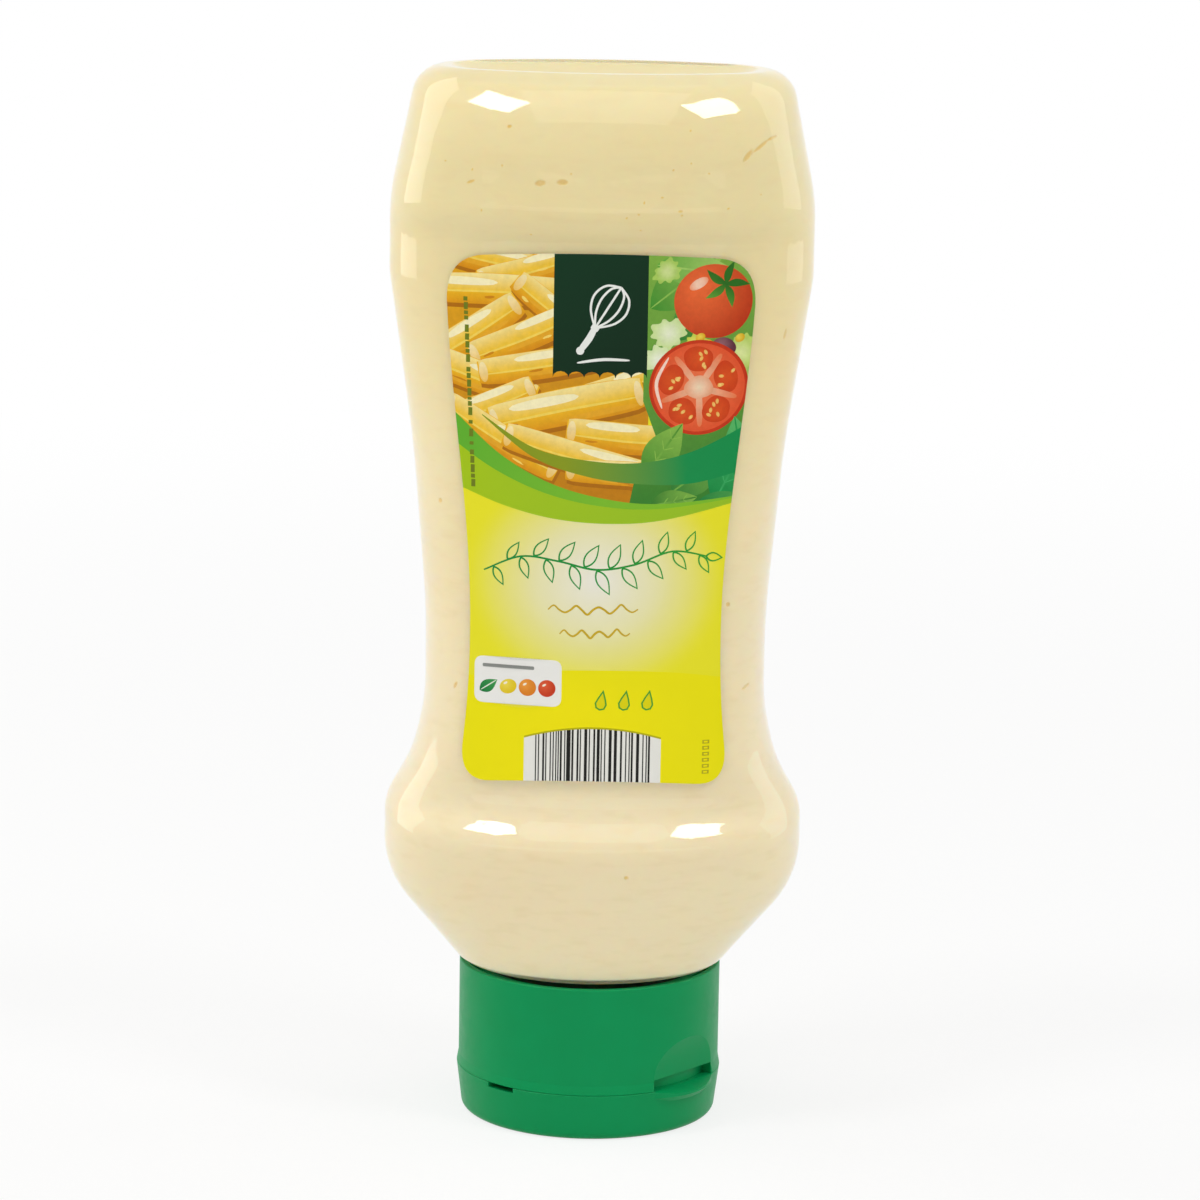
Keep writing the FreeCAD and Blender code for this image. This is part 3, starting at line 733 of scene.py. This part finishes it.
# %% Fries: where they lie
# x and height of the middle, length, width, turn in degrees
FRIES = [
    (-22, 166.8, 24, 5.2, -10),
    (-13, 165.0, 20, 5.0, 17),
    (-20, 160.4, 30, 5.8, 1),
    (-9.5, 158.4, 15, 5.0, -36),
    (-24, 152.3, 22, 5.8, 35),
    (-13, 153.2, 24, 5.6, 25),
    (-25, 145.2, 28, 6.0, -17),
    (-10, 147.6, 25, 5.4, 11),
    (4, 144.0, 18, 5.0, 19),
    (-21, 139.2, 20, 5.4, 24),
    (-6, 139.4, 29, 6.8, 13),
    (5, 134.3, 22, 5.8, -5),
    (-18, 133.6, 24, 5.6, -29),
    (-2, 130.0, 32, 5.6, -15),
    (6, 127.2, 24, 4.6, -4),
]
print("fries:", len(FRIES))

# %% Fries: how each is painted
rng = random.Random(21)


def fry(x, h, length, width, degrees):
    """A fry: shadow, golden side, pale top, shine, browned edge, line, two ends and two spots."""
    a = radians(degrees)
    long_way = Vector((cos(a), sin(a)))
    across = Vector((-sin(a), cos(a)))
    middle = Vector((x, h))

    def strip(centre, run, shift, share, bow, tip, ink):
        centre = centre + across * shift * width
        half = long_way * run / 2
        ends = [tuple(p) for p in (centre - half, centre + across * bow, centre + half)]
        paint(ribbon(ends, width * share, tip, 6), ink)

    bow = rng.uniform(-0.5, 0.5)
    low, high = middle - across * width / 2, middle + across * width / 2
    strip(middle + Vector((0.3, -0.7)), length, 0, 1.02, bow, 0.74, "b06c0c")
    strip(middle, length, 0, 1.0, bow, 0.74, along("dd9011", "f2bb24", low, middle))
    strip(middle, length - 0.6, 0.2, 0.56, bow, 0.7, along("f4c63a", "fbe597", middle, high))
    pale_from = rng.uniform(-0.4, 0.1) * length
    pale = middle + long_way * (pale_from + 0.2 * length)
    strip(pale, length * 0.45, 0.27, 0.26, 0.1, 0.1, "fdf2c2")
    strip(middle - long_way * pale_from * 0.6, length * 0.5, -0.3, 0.16, 0.1, 0.1, "e9a928")
    strip(middle, length * 0.93, -0.09, 0.07, bow, 0.3, "f7d65c")
    for side in (-1, 1):
        end = middle + long_way * side * (length / 2 - 0.95)
        paint(oval(*end, 0.8, width * 0.35, degrees, 18), along("efb93c", "fcefbd", low, high))
    for _ in range(2):
        spot = middle + long_way * rng.uniform(-0.45, 0.45) * length
        spot -= across * rng.uniform(0.15, 0.4) * width
        brown = rng.choice(("cf8412", "f8d86a"))
        size = rng.uniform(0.5, 1.4), rng.uniform(0.15, 0.3)
        paint(oval(*spot, *size, degrees, 14, 0.15, rng.random()), brown)


for row in FRIES:
    fry(*row)
tally()



# %% Salad
def veined_leaf(x, h, length, width, degrees, deep, pale, vein):
    """A leaf that grows paler to its tip, with its midrib."""
    outline = leaf(x, h, length, width, degrees)
    tip = outline[14]
    paint(outline, along(deep, pale, (x, h), tip))
    paint(ribbon([(x, h), tip], vein, 0.1, 12), along(pale, deep, (x, h), tip))


SALAD_EDGE = [(8, 171), (31, 171), (31, 118), (5, 118), (7, 128), (11, 133), (8, 141), (8, 150)]
paint(SALAD_EDGE, along("2f7d2b", "7fb043", (20, 120), (12, 168)))
for row in (
    (9, 158, 17, 8, 38, "3f8f2c", "9cc95a"),
    (10, 166, 16, 6, -8, "5da63a", "b6d873"),
    (14, 152, 12, 6, 60, "2c7b2e", "6cae44"),
    (8, 150, 13, 7, -30, "4b9a31", "a3cc5c"),
    (22, 150, 12, 7, -55, "6fb03c", "c7df86"),
):
    veined_leaf(*row, 0.35)
for x, h, size, degrees, seed, inner, outer in (
    (12.5, 153.5, 2.6, 20, 1, "eef2d8", "cfe39a"),
    (10.8, 148.5, 2.3, -30, 2, "f3f4e4", "d8e8ae"),
    (26.0, 149.5, 2.8, 70, 3, "e3eca5", "b9d465"),
    (17.5, 151.5, 1.8, 10, 4, "e6e76c", "c9d24e"),
    (12.0, 164.8, 2.0, 35, 5, "dfe9a4", "a9cc5c"),
):
    paint(frilly(x, h, size, degrees, seed), around(inner, outer, (x, h), size))
tally()


# %% Tomatoes
def tomato_whole(x, h, r):
    """A whole tomato of radius r, with its shine and its green star."""
    shine, gleam = (x - r * 0.35, h + r * 0.35), (x - r * 0.38, h + r * 0.45)
    star = x + r * 0.3, h + r * 0.42
    paint(oval(x, h, r, r * 0.93, 0, 60, 0.008, 5), around("ee6a34", "b93410", shine, r * 1.5, 0.1))
    paint(oval(*gleam, r * 0.26, r * 0.12, 30), around("ffe6cf", "f08a55", gleam, r * 0.3))
    for i in range(5):
        green = along("2b6d1d", "5f9f35", star, (x, h))
        paint(leaf(*star, r * 0.62, r * 0.2, 70 + 72 * i, 0.3), green)


def tomato_slice(x, h, r, degrees):
    """A cut tomato: skin, flesh, five chambers with their seeds, and the pale core."""
    skin = around("e8582c", "c22f10", (x, h), r, 0.6)
    flesh = around("ef7a4a", "e4522a", (x, h), r)
    paint(oval(x, h, r, r * 0.97, 0, 70, 0.006, 8), skin)
    paint(oval(x, h, r * 0.93, r * 0.9, 0, 64, 0.006, 8), flesh)
    rng = random.Random(4)
    for i in range(5):
        turn = degrees + 72 * i
        cx, ch = toward(x, h, r * 0.58, turn)
        chamber = around("e0561f", "cf3f16", (cx, ch), r * 0.32)
        paint(oval(cx, ch, r * 0.25, r * 0.31, turn, 30, 0.05, i), chamber)
        for _ in range(5):
            seed = cx + rng.uniform(-0.17, 0.17) * r, ch + rng.uniform(-0.2, 0.2) * r
            outline = oval(*seed, r * 0.055, r * 0.032, turn + rng.uniform(-50, 50), 12)
            paint(outline, around("fbe08a", "eaa23c", seed, r * 0.06))
        wall = toward(x, h, r * 0.8, turn + 36)
        paint(ribbon([(x, h), wall], r * 0.13, 0.3, 12), along("f3c3a0", "ec7b4b", (x, h), wall))
    core = around("f4dcbb", "eda37c", (x, h), r * 0.28)
    paint(oval(x, h, r * 0.27, r * 0.25, 0, 30, 0.08, 3), core)
    shine = [(x + r * p, h + r * q) for p, q in ((-0.62, 0.62), (-0.86, 0.1), (-0.74, -0.42))]
    paint(ribbon(shine, r * 0.07, 0.1), "fbd9c6")


tomato_whole(20.6, 159.2, 7.3)
paint(oval(22.6, 150.6, 2.3, 1.9, -20, 30, 0.03, 2), around("9a6a70", "5d2f3c", (22.0, 151.2), 2.4))
for x, h in ((19.6, 151.4), (18.3, 152.6), (25.6, 152.3)):
    paint(oval(x, h, 0.95, 0.75, 30, 20), around("f8e35a", "d9a616", (x - 0.2, h + 0.2), 1.0))
tomato_slice(18.2, 143.4, 9.1, 20)
tally()

# %% Leaves in front
RIB_TURN = 42.97183  # degrees from the midrib to a side rib
for x, h, length, width, degrees, deep, pale in (
    (8.5, 127, 12, 6.5, 55, "3f8b2a", "8fbf4e"),
    (13.5, 124, 12, 7.0, 35, "2f7f33", "79b44a"),
    (21.5, 122, 13, 7.5, 62, "07883e", "3fae63"),
    (27.0, 126, 12, 6.5, 100, "0d8f45", "5dbb68"),
    (9.5, 121.5, 9, 4.5, 10, "2f7a2a", "84b94a"),
    (17.5, 121.0, 11, 4.5, 8, "0e7d3c", "56a84f"),
):
    veined_leaf(x, h, length, width, degrees, deep, pale, 0.4)
    for share in (0.3, 0.5, 0.7):
        rib = toward(x, h, length * share, degrees)
        for side in (-1, 1):
            end = toward(*rib, 0.3 * width, degrees + side * RIB_TURN)
            paint(ribbon([rib, end], 0.18, 0.1, 6), pale)
tally()
FOOD_FIELDS = len(PRINT)

# %% [markdown]
# ### Bands of green
# Three curved bands, and the yellow field under them, close the picture at the bottom. Each
# is the space between two smooth lines across the label.


# %% Bands
def band(upper, lower, ink):
    """The space between two lines that both run from left to right."""
    high, low = smooth_line(upper, 10), smooth_line(lower, 10)
    paint([tuple(p) for p in low] + [tuple(p) for p in reversed(high)], ink)


BELOW = [(-30, 116), (-18, 114), (-9, 114), (1, 114), (12, 114), (30, 114)]
band(
    [(-21.5, 137.6), (-12, 132.0), (-2, 129.9), (8, 129.6), (18, 131.8), (30, 137.6)],
    [(-21.5, 137.4), (-12, 130.2), (-2, 126.9), (8, 125.6), (18, 125.7), (30, 128.6)],
    along("8a9a1e", "128f4a", (-6, 128), (16, 130)),
)
band(
    [(-30, 140.6), (-25.8, 137.0), (-18, 130.4), (-9, 125.6), (1, 122.9), (12, 121.9), (30, 123.4)],
    BELOW,
    along("62b22f", "7fbe2c", (-24, 134), (4, 121)),
)
band(
    [(-30, 135.2), (-25.3, 131.4), (-18, 127.0), (-9, 123.4), (1, 121.4), (12, 121.0), (30, 123.2)],
    BELOW,
    along("a6c718", "98c325", (-24, 126), (20, 120)),
)
band(
    [(-30, 125.6), (-24.7, 123.6), (-17, 120.9), (-8, 118.9), (2.4, 118.2), (13, 119), (30, 122.9)],
    [(-30, 92), (-17, 92), (-8, 92), (2.4, 92), (13, 92), (30, 92)],
    ground,
)
tally()

# %% [markdown]
# ### The banner
# A dark green banner hangs from the upper edge, with a scalloped lower end. It carries a
# plain mark: a hand whisk, as used to beat the cream.

# %% Banner and whisk
BANNER_HALF = 8.6
BANNER_LOW = 145.2
TEETH = 6
SCALLOP = 1.1  # how deep each is
banner = [(BANNER_HALF, 171), (-BANNER_HALF, 171), (-BANNER_HALF, BANNER_LOW)]
for i in range(TEETH):
    left = -BANNER_HALF + 2 * BANNER_HALF * i / TEETH
    for k in range(1, 7):
        a = pi * k / 6
        across = left + BANNER_HALF / TEETH * (1 - cos(a))
        banner.append((across, BANNER_LOW + SCALLOP * sin(a)))
paint(banner, along("04331a", "002610", (-8, 168), (8, 146)))

WHITE_INK = "eef0ea"
WHISK = (0.0, 156.0, -32)  # place and turn
for spread in (-3.4, -1.9, 0.0, 1.9, 3.4):
    outward = ((0.12, -1.6), (0.75, 0.6), (1.0, 3.2), (0.72, 5.7), (0.0, 6.9))
    loop = [(share * spread, h) for share, h in outward]
    paint(ribbon(placed(loop, *WHISK), 0.42, 0.8), WHITE_INK)
paint(placed(bar(0, -1.9, 1.5, 1.0, 0.3), *WHISK), WHITE_INK)
handle = [(0, -2.2), (0.15, -4.2), (0, -6.6)]
paint(ribbon(placed(handle, *WHISK), 1.25, 0.75), WHITE_INK)
paint(placed(oval(0, -6.9, 0.75, 0.75, 0, 20), *WHISK), WHITE_INK)
paint(ribbon([(-4.2, 147.9), (0.5, 148.6), (5.4, 148.5)], 0.55, 0.3), WHITE_INK)
tally()

# %% [markdown]
# ### The yellow field
# Below the picture, a thin green sprig runs across the glow, with two mustard-coloured waves
# under it. Lower down come a white plate with four small foods, three drops drawn in line
# and a bar code, whose bars are random and mean nothing.


# %% Sprig and waves
def leaf_line(x, h, length, width, degrees, stroke, ink):
    """A leaf drawn as a thin line: the leaf in ink, and the ground inside it."""
    paint(leaf(x, h, length, width, degrees), ink)
    start = toward(x, h, stroke * 1.6, degrees)
    paint(leaf(*start, length - stroke * 3.2, width - stroke * 2, degrees), ground)


SPRIG_INK = along("0b8a40", "2f9d33", (-20, 110), (20, 112))
STROKE = 0.38
stem = [(-20.8, 108.6), (-14, 111.6), (-7, 111), (0, 109.6), (7, 110.6), (14, 113), (20.6, 111.8)]
for i, (x, h) in enumerate(smooth_line(stem, 3)[1:-1]):
    side = 1 if i % 2 else -1
    lean = 12 * sin(x / 6)
    size = 1 - 0.25 * abs(x) / 20
    leaf_line(x, h, 5.4 * size, 2.3 * size, 62 * side + lean, STROKE * 0.75, SPRIG_INK)
paint(ribbon(stem, STROKE, 0.7), SPRIG_INK)
leaf_line(20.0, 111.9, 3.4, 1.8, -8, STROKE * 0.75, SPRIG_INK)

MUSTARD_INK = "c9a91c"
for start, end, h, size in ((-8.8, 7.8, 101.9, 0.95), (-6.6, 6.4, 97.4, 0.85)):
    count = 17
    wave = []
    for i in range(count):
        t = i / (count - 1)
        rise = size * sin(i * pi / 2) * (0.75 + 0.25 * cos(i))
        wave.append((start + (end - start) * t, h + 0.35 * t + rise))
    paint(ribbon(wave, 0.42, 0.5, 5), MUSTARD_INK)
tally()



# %% Lower field, plate and drops
def lower_yellow(x, h):
    """The stronger yellow at the bottom, a little greener outwards and upwards."""
    share = abs(x + 4) / 24 + max(0.0, (h - 84) / 9)
    return mixed(linear(LOW_GROUND), linear("f0e605"), share)


band(
    [(-30, 87.6), (-18, 89.2), (-8, 90.4), (2, 90.7), (12, 90.4), (20, 89.5), (30, 87.6)],
    [(-30, 60), (-18, 60), (-8, 60), (2, 60), (12, 60), (20, 60), (30, 60)],
    lower_yellow,
)
PLATE = (-14.2, 88.0)
FOODS = ("1c7a3c", "3f9c4f"), ("e3c413", "f2dd55"), ("dd7d1c", "f0a040"), ("c93a1a", "e4603a")
paint(bar(*PLATE, 16.2, 8.8, 1.7), "f0efea")
paint(bar(PLATE[0] - 1.8, PLATE[1] + 2.7, 9.6, 0.65, 0.25), "8b8d88")
for i, (deep, pale) in enumerate(FOODS):
    x, h = PLATE[0] - 5.4 + 3.6 * i, PLATE[1] - 1.0
    if i == 0:
        green = along(deep, pale, (x - 1.5, h - 1), (x + 1.5, h + 1))
        paint(leaf(x - 1.7, h - 1.2, 4.0, 2.3, 35), green)
        paint(ribbon([(x - 1.5, h - 1.05), (x + 1.4, h + 1.0)], 0.22, 0.2), "dfe9d6")
    else:
        body = around(pale, deep, (x - 0.5, h + 0.5), 2.0)
        paint(oval(x, h, 1.62, 1.35 if i == 1 else 1.6, 25, 30), body)
        paint(oval(x - 0.5, h + 0.6, 0.4, 0.2, 30, 14), "fbf3dc")
for x in (1.3, 5.6, 9.9):
    drop = [(0, 2.3), (-0.75, 0.7), (-1.15, -0.45), (-0.85, -1.35)]
    drop += [(0, -1.7), (0.85, -1.35), (1.15, -0.45), (0.75, 0.7)]
    paint(placed(drop, x, 84.8, -10), "3f9d33")
    paint(placed([(p * 0.72, q * 0.76 - 0.1) for p, q in drop], x, 84.8, -10), "e2d707")
tally()

# %% Bar code and small print
CODE_LEFT, CODE_RIGHT = -12.9, 12.5
CODE_TOP, CODE_RISE = 77.5, 2.1


def code_top(x):
    """Height of the bar code's arched upper edge."""
    return CODE_TOP + CODE_RISE * (1 - (x / 12.8) ** 2)


white = [(CODE_RIGHT, 66), (CODE_RIGHT, code_top(CODE_RIGHT))]
white += [(x, code_top(x)) for x in [12 - i * 1.5 for i in range(17)]]
white += [(CODE_LEFT, code_top(CODE_LEFT)), (CODE_LEFT, 66)]
shadow = [(x, h + (0.35 if h > 70 else 0)) for x, h in white]
paint(shadow, "b9b10a")
paint(white, "ecebe4")
BARS_END = 10.8
BAR_INK = "1f1e1b"
rng = random.Random(1730)
x = -BARS_END
while x < BARS_END - 0.4:
    right = min(x + rng.choice((0.22, 0.22, 0.36, 0.36, 0.55, 0.75)), BARS_END)
    paint([(x, 66), (right, 66), (right, code_top(right)), (x, code_top(x))], BAR_INK)
    x = right + rng.choice((0.2, 0.2, 0.3, 0.42, 0.6))
h = 124.0  # dashes that climb along the left edge
while h < 159:
    tall = rng.uniform(0.5, 1.5)
    paint(bar(-23.9 + (h - 141) * -0.055, h + tall / 2, 0.75, tall), "6f7d1e")
    h += tall + rng.choice((0.25, 0.25, 0.25, 0.9))
h = 70.6  # and small frames at the right one
while h < 77.4:
    paint(bar(20.9, h + 0.4, 1.3, 0.7), "b5ac1b")
    paint(bar(20.9, h + 0.4, 0.7, 0.3), LOW_GROUND)
    h += 1.15
tally()

# %% [markdown]
# ### Cutting, wrapping and thickening the film
# A constrained Delaunay triangulation cuts the label along every outline at once, and tells
# which outlines each triangle lies in. Points of a fine grid are added, so that the film can
# bend and colours can run smoothly. The back and the rim make it a closed solid.


# %% Cut the flat label
GRID = 1.1  # between the grid's points, in mm


def cut_film(fields):
    """The flat label's points, its triangles and the number of each one's field."""
    points, loops = [], []
    for outline, _ in [(FILM_OUTLINE, None)] + fields:
        loops.append(list(range(len(points), len(points) + len(outline))))
        points += [Vector(p) for p in outline]
    for row in range(int((HIGH_CORNER + 2 - LOW_CORNER) / GRID)):
        for column in range(int(58 / GRID)):
            x = -28.8 + (column + 0.5 * (row % 2)) * GRID
            points.append(Vector((x, LOW_CORNER + 0.4 + row * GRID)))
    flat_points, _, triangles, _, _, within = delaunay_2d_cdt(points, [], loops, 1, 1e-4, True)
    kept = [(t, max(w)) for t, w in zip(triangles, within) if 0 in w]
    used = sorted({i for t, _ in kept for i in t})
    number = {old: new for new, old in enumerate(used)}
    faces = [tuple(number[i] for i in t) for t, _ in kept]
    return [flat_points[i] for i in used], faces, [f for _, f in kept]


print("points across the label:", int(58 / GRID))


# %% Wrap, thicken and ink it
def printed_film(name, fields, food_fields, sign):
    """A film on the front (sign -1) or back (sign 1) panel, with its print."""
    film_points, faces, inks = cut_film(fields)
    count = len(film_points)
    sides = [(t[k], t[(k + 1) % 3]) for t in faces for k in range(3)]
    known = set(sides)
    rim = [(a, b) for a, b in sides if (b, a) not in known]

    def wrapped(x, h, radius):
        y = sign * (sqrt(radius**2 - x**2) - PANEL_CENTRE)
        return Vector((-sign * x, y, h)) * MM

    outer = [wrapped(p.x, p.y, PANEL_RADIUS) for p in film_points]
    inner = [wrapped(p.x, p.y, PANEL_RADIUS - FILM) for p in film_points]
    back = [(c + count, b + count, a + count) for a, b, c in faces]
    edge = [(b, a, a + count, b + count) for a, b in rim]
    mesh = bpy.data.meshes.new(name)
    mesh.from_pydata(outer + inner, [], faces + back + edge)

    ink = mesh.color_attributes.new("ink", "FLOAT_COLOR", "CORNER")
    picture = mesh.attributes.new("picture", "FLOAT", "FACE")
    white = linear("f2f1ec")
    colours, normals = [], []
    for i, polygon in enumerate(mesh.polygons):
        printed = i < len(faces)
        if printed and inks[i] > 0:
            field = fields[inks[i] - 1][1]
            colours += [field(film_points[v].x, film_points[v].y) for v in polygon.vertices]
            picture.data[i].value = 1.0 if 1 < inks[i] <= food_fields else 0.0
        else:
            colours += [white] * len(polygon.vertices)
        for v in polygon.vertices:
            co = mesh.vertices[v].co
            out = Vector((co.x, co.y + sign * PANEL_CENTRE * MM, 0)).normalized()
            hidden = -out if i < 2 * len(faces) else polygon.normal.copy()
            normals.append(out if printed else hidden)
    ink.data.foreach_set("color", [c for colour in colours for c in colour])
    for polygon in mesh.polygons:
        polygon.use_smooth = True
    mesh.normals_split_custom_set(normals)
    print(name, len(fields), "fields,", len(mesh.polygons), "faces")
    return new_object(name, mesh)


front_film = printed_film("label_front_film", PRINT, FOOD_FIELDS, -1)

# %% [markdown]
# ### The back label
# The back label has the same outline. A real one holds a list, a table and how to keep the
# cream. Here that is rows of short dark dashes, which look like small print and say nothing.

# %% Print of the back label
PRINT = []
paint(WHOLE_LABEL, ground)
HEAD_LOW = [(-30, 153), (-18, 149.5), (-4, 148.6), (12, 151.6), (30, 158.2)]
band(
    [(-30, 172), (0, 172), (30, 172)],
    HEAD_LOW,
    along("0b6b33", "3f9a33", (-24, 150), (24, 166)),
)
band(
    HEAD_LOW,
    [(-30, 150.4), (-18, 147.4), (-4, 146.9), (12, 150.3), (30, 157.6)],
    along("8fbf2f", "b5cf1e", (-24, 150), (24, 156)),
)
for x, h, degrees in (-9, 157.6, 35), (-2.5, 160.2, 60), (4, 160.4, 95), (10, 158.4, 130):
    paint(leaf(x, h - 2, 6.4, 3.0, degrees), "e9eccf")
    green = along("2f8f3a", "7fb43a", (x, h), (x + 3, h + 5))
    paint(leaf(x + 0.2, h - 1.6, 4.9, 1.3, degrees), green)
paint(bar(0, 122.5, 42, 40, 2.2), "f0efe2")
paint(bar(0, 139.2, 30, 1.5, 0.3), "1f6e39")


def small_print(left, right, high, rows, spacing, tall, code, seed):
    """Rows of dashes of uneven length, ragged on the right."""
    rng = random.Random(seed)
    for row in range(rows):
        h = high - row * spacing
        x = left
        ragged = 1 if row % 4 == 3 else 0.2
        stop = right - rng.uniform(0, 0.3) * (right - left) * ragged
        while x < stop - 0.8:
            length = min(rng.uniform(0.8, 3.4), stop - x)
            paint(bar(x + length / 2, h, length, tall), code)
            x += length + 0.45


small_print(-18.5, 18.5, 135.6, 8, 1.75, 0.62, "2c5a38", 3)
for row in range(5):
    h = 117.8 - row * 3.1
    paint(bar(0, h - 1.45, 37, 0.22), "2c5a38")
    small_print(-18.0, -6 + row % 3 * 2.0, h, 1, 1.0, 0.75, "2c5a38", 20 + row)
    small_print(8.5, 17.8, h, 1, 1.0, 0.75, "2c5a38", 30 + row)
small_print(-16, 16, 97.6, 4, 1.9, 0.6, "54741d", 5)
paint(bar(-13.5, 82.5, 13, 10, 1.2), "f0efe2")
for i, code in enumerate(("1c7a3c", "d7b51a", "c7501d")):
    paint(oval(-17.2 + 3.7 * i, 83.6, 1.35, 1.35, 0, 28), code)
paint(bar(-13.5, 79.6, 9, 0.6, 0.2), "7d807a")
paint(bar(10.5, 80.5, 20, 13, 0.8), "ecebe4")
rng = random.Random(911)
x = 2.6
while x < 18.2:
    width = rng.choice((0.2, 0.34, 0.34, 0.5, 0.7))
    paint(bar(x + width / 2, 80.9, width, 10), BAR_INK)
    x += width + rng.choice((0.2, 0.3, 0.45))
back_film = printed_film("label_back_film", PRINT, 0, 1)

# %% [markdown]
# ### The film and its ink
# The film is polypropylene with a gloss varnish over the print, so it shines a little more
# softly than the bottle. The picture part gets fine speckles, as printed food has, and the
# plain fields stay clean. The varnish dips a little where soft rollers pressed the film on.

# %% Printed film
SPECKLE = 1.1 * MM
ROLLER_DIP = 16 * MM
DARKEST, LIGHTEST = 0.93, 1.06  # how a speckle changes the ink

film, tree, here = new_material("varnished_PP_film")
ink_seen = add(tree, "Attribute", attribute_name="ink")
picture_seen = add(tree, "Attribute", attribute_name="picture")
dots = {"Vector": here, "Scale": 1 / SPECKLE, "Detail": 5.0, "Roughness": 0.65}
speckle = add(tree, "TexNoise", dots)
contrast = {"Value": speckle, "From Min": 0.3, "From Max": 0.7}
light_dark = add(tree, "MapRange", contrast | {"To Min": DARKEST, "To Max": LIGHTEST})
amount = add(tree, "Mix", {0: picture_seen.outputs["Fac"], 2: 1.0, 3: light_dark})
inked = {0: ink_seen.outputs["Color"], "Scale": amount}
printed = add(tree, "VectorMath", inked, operation="SCALE")
dips = add(tree, "TexNoise", {"Vector": here, "Scale": 1 / ROLLER_DIP, "Detail": 1.0})
dipped = add(tree, "Bump", {"Height": dips, "Strength": 0.1, "Distance": 0.4 * MM})
skin = {"Base Color": printed, "Roughness": 0.28, "IOR": 1.49}
skin |= {"Specular IOR Level": 0.12, "Normal": dipped}
varnish = add(tree, "BsdfPrincipled", skin)
add(tree, "OutputMaterial", {"Surface": varnish})
for made, panel in ((front_film, "label_front"), (back_film, "label_back")):
    made.data.materials.append(film)
    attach(made, "root")
    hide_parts(panel)
print("varnished film on", front_film.name, "and", back_film.name)

# %% [markdown]
# ## The cap: moulded polypropylene
# The cap and its lid are moulded in one piece from green polypropylene, a waxy plastic that
# takes a fine satin grain from its mould and lets a little light in, which softens its edges.
# The solids already have its seam, slots, thumb notch and lip, so they get only the material.

# %% Green polypropylene
PP_GRAIN = 0.35 * MM  # the mould's grain, drawn coarse enough to show
PP_FLOW = 9 * MM  # the paler clouds where the melt met
PP_SCUFF = 3 * MM
PP_SMOOTH, PP_DULL = 0.34, 0.46  # roughness from the smoothest to the dullest

cap_green, tree, here = new_material("moulded_green_PP")
flow = add(tree, "TexNoise", {"Vector": here, "Scale": 1 / PP_FLOW, "Detail": 2.0})
grain = add(tree, "TexNoise", {"Vector": here, "Scale": 1 / PP_GRAIN, "Detail": 3.0})
scuffed = {"Vector": here, "Scale": 1 / PP_SCUFF, "Detail": 6.0, "Roughness": 0.75}
scuff = add(tree, "TexNoise", scuffed)
greens = {"Factor": flow, 6: linear("008f50"), 7: linear("009757")}
tone = add(tree, "Mix", greens, data_type="RGBA")
dulling = {"Value": scuff, "From Min": 0.35, "From Max": 0.7}
sheen = add(tree, "MapRange", dulling | {"To Min": PP_SMOOTH, "To Max": PP_DULL})
satin = add(tree, "Bump", {"Height": grain, "Strength": 0.12, "Distance": 0.05 * MM})
body = {"Base Color": tone.outputs[2], "Roughness": sheen, "IOR": 1.49, "Normal": satin}
body |= {"Specular IOR Level": 0.13, "Subsurface Weight": 0.12}
body |= {"Subsurface Radius": (0.3, 1.0, 0.5), "Subsurface Scale": 0.8 * MM}
plastic = add(tree, "BsdfPrincipled", body)
add(tree, "OutputMaterial", {"Surface": plastic})
for name in ("cap_body", "flip_lid", "living_hinge"):
    SOLIDS[name].data.materials.clear()
    SOLIDS[name].data.materials.append(cap_green)
print("cap and lid:", cap_green.name)
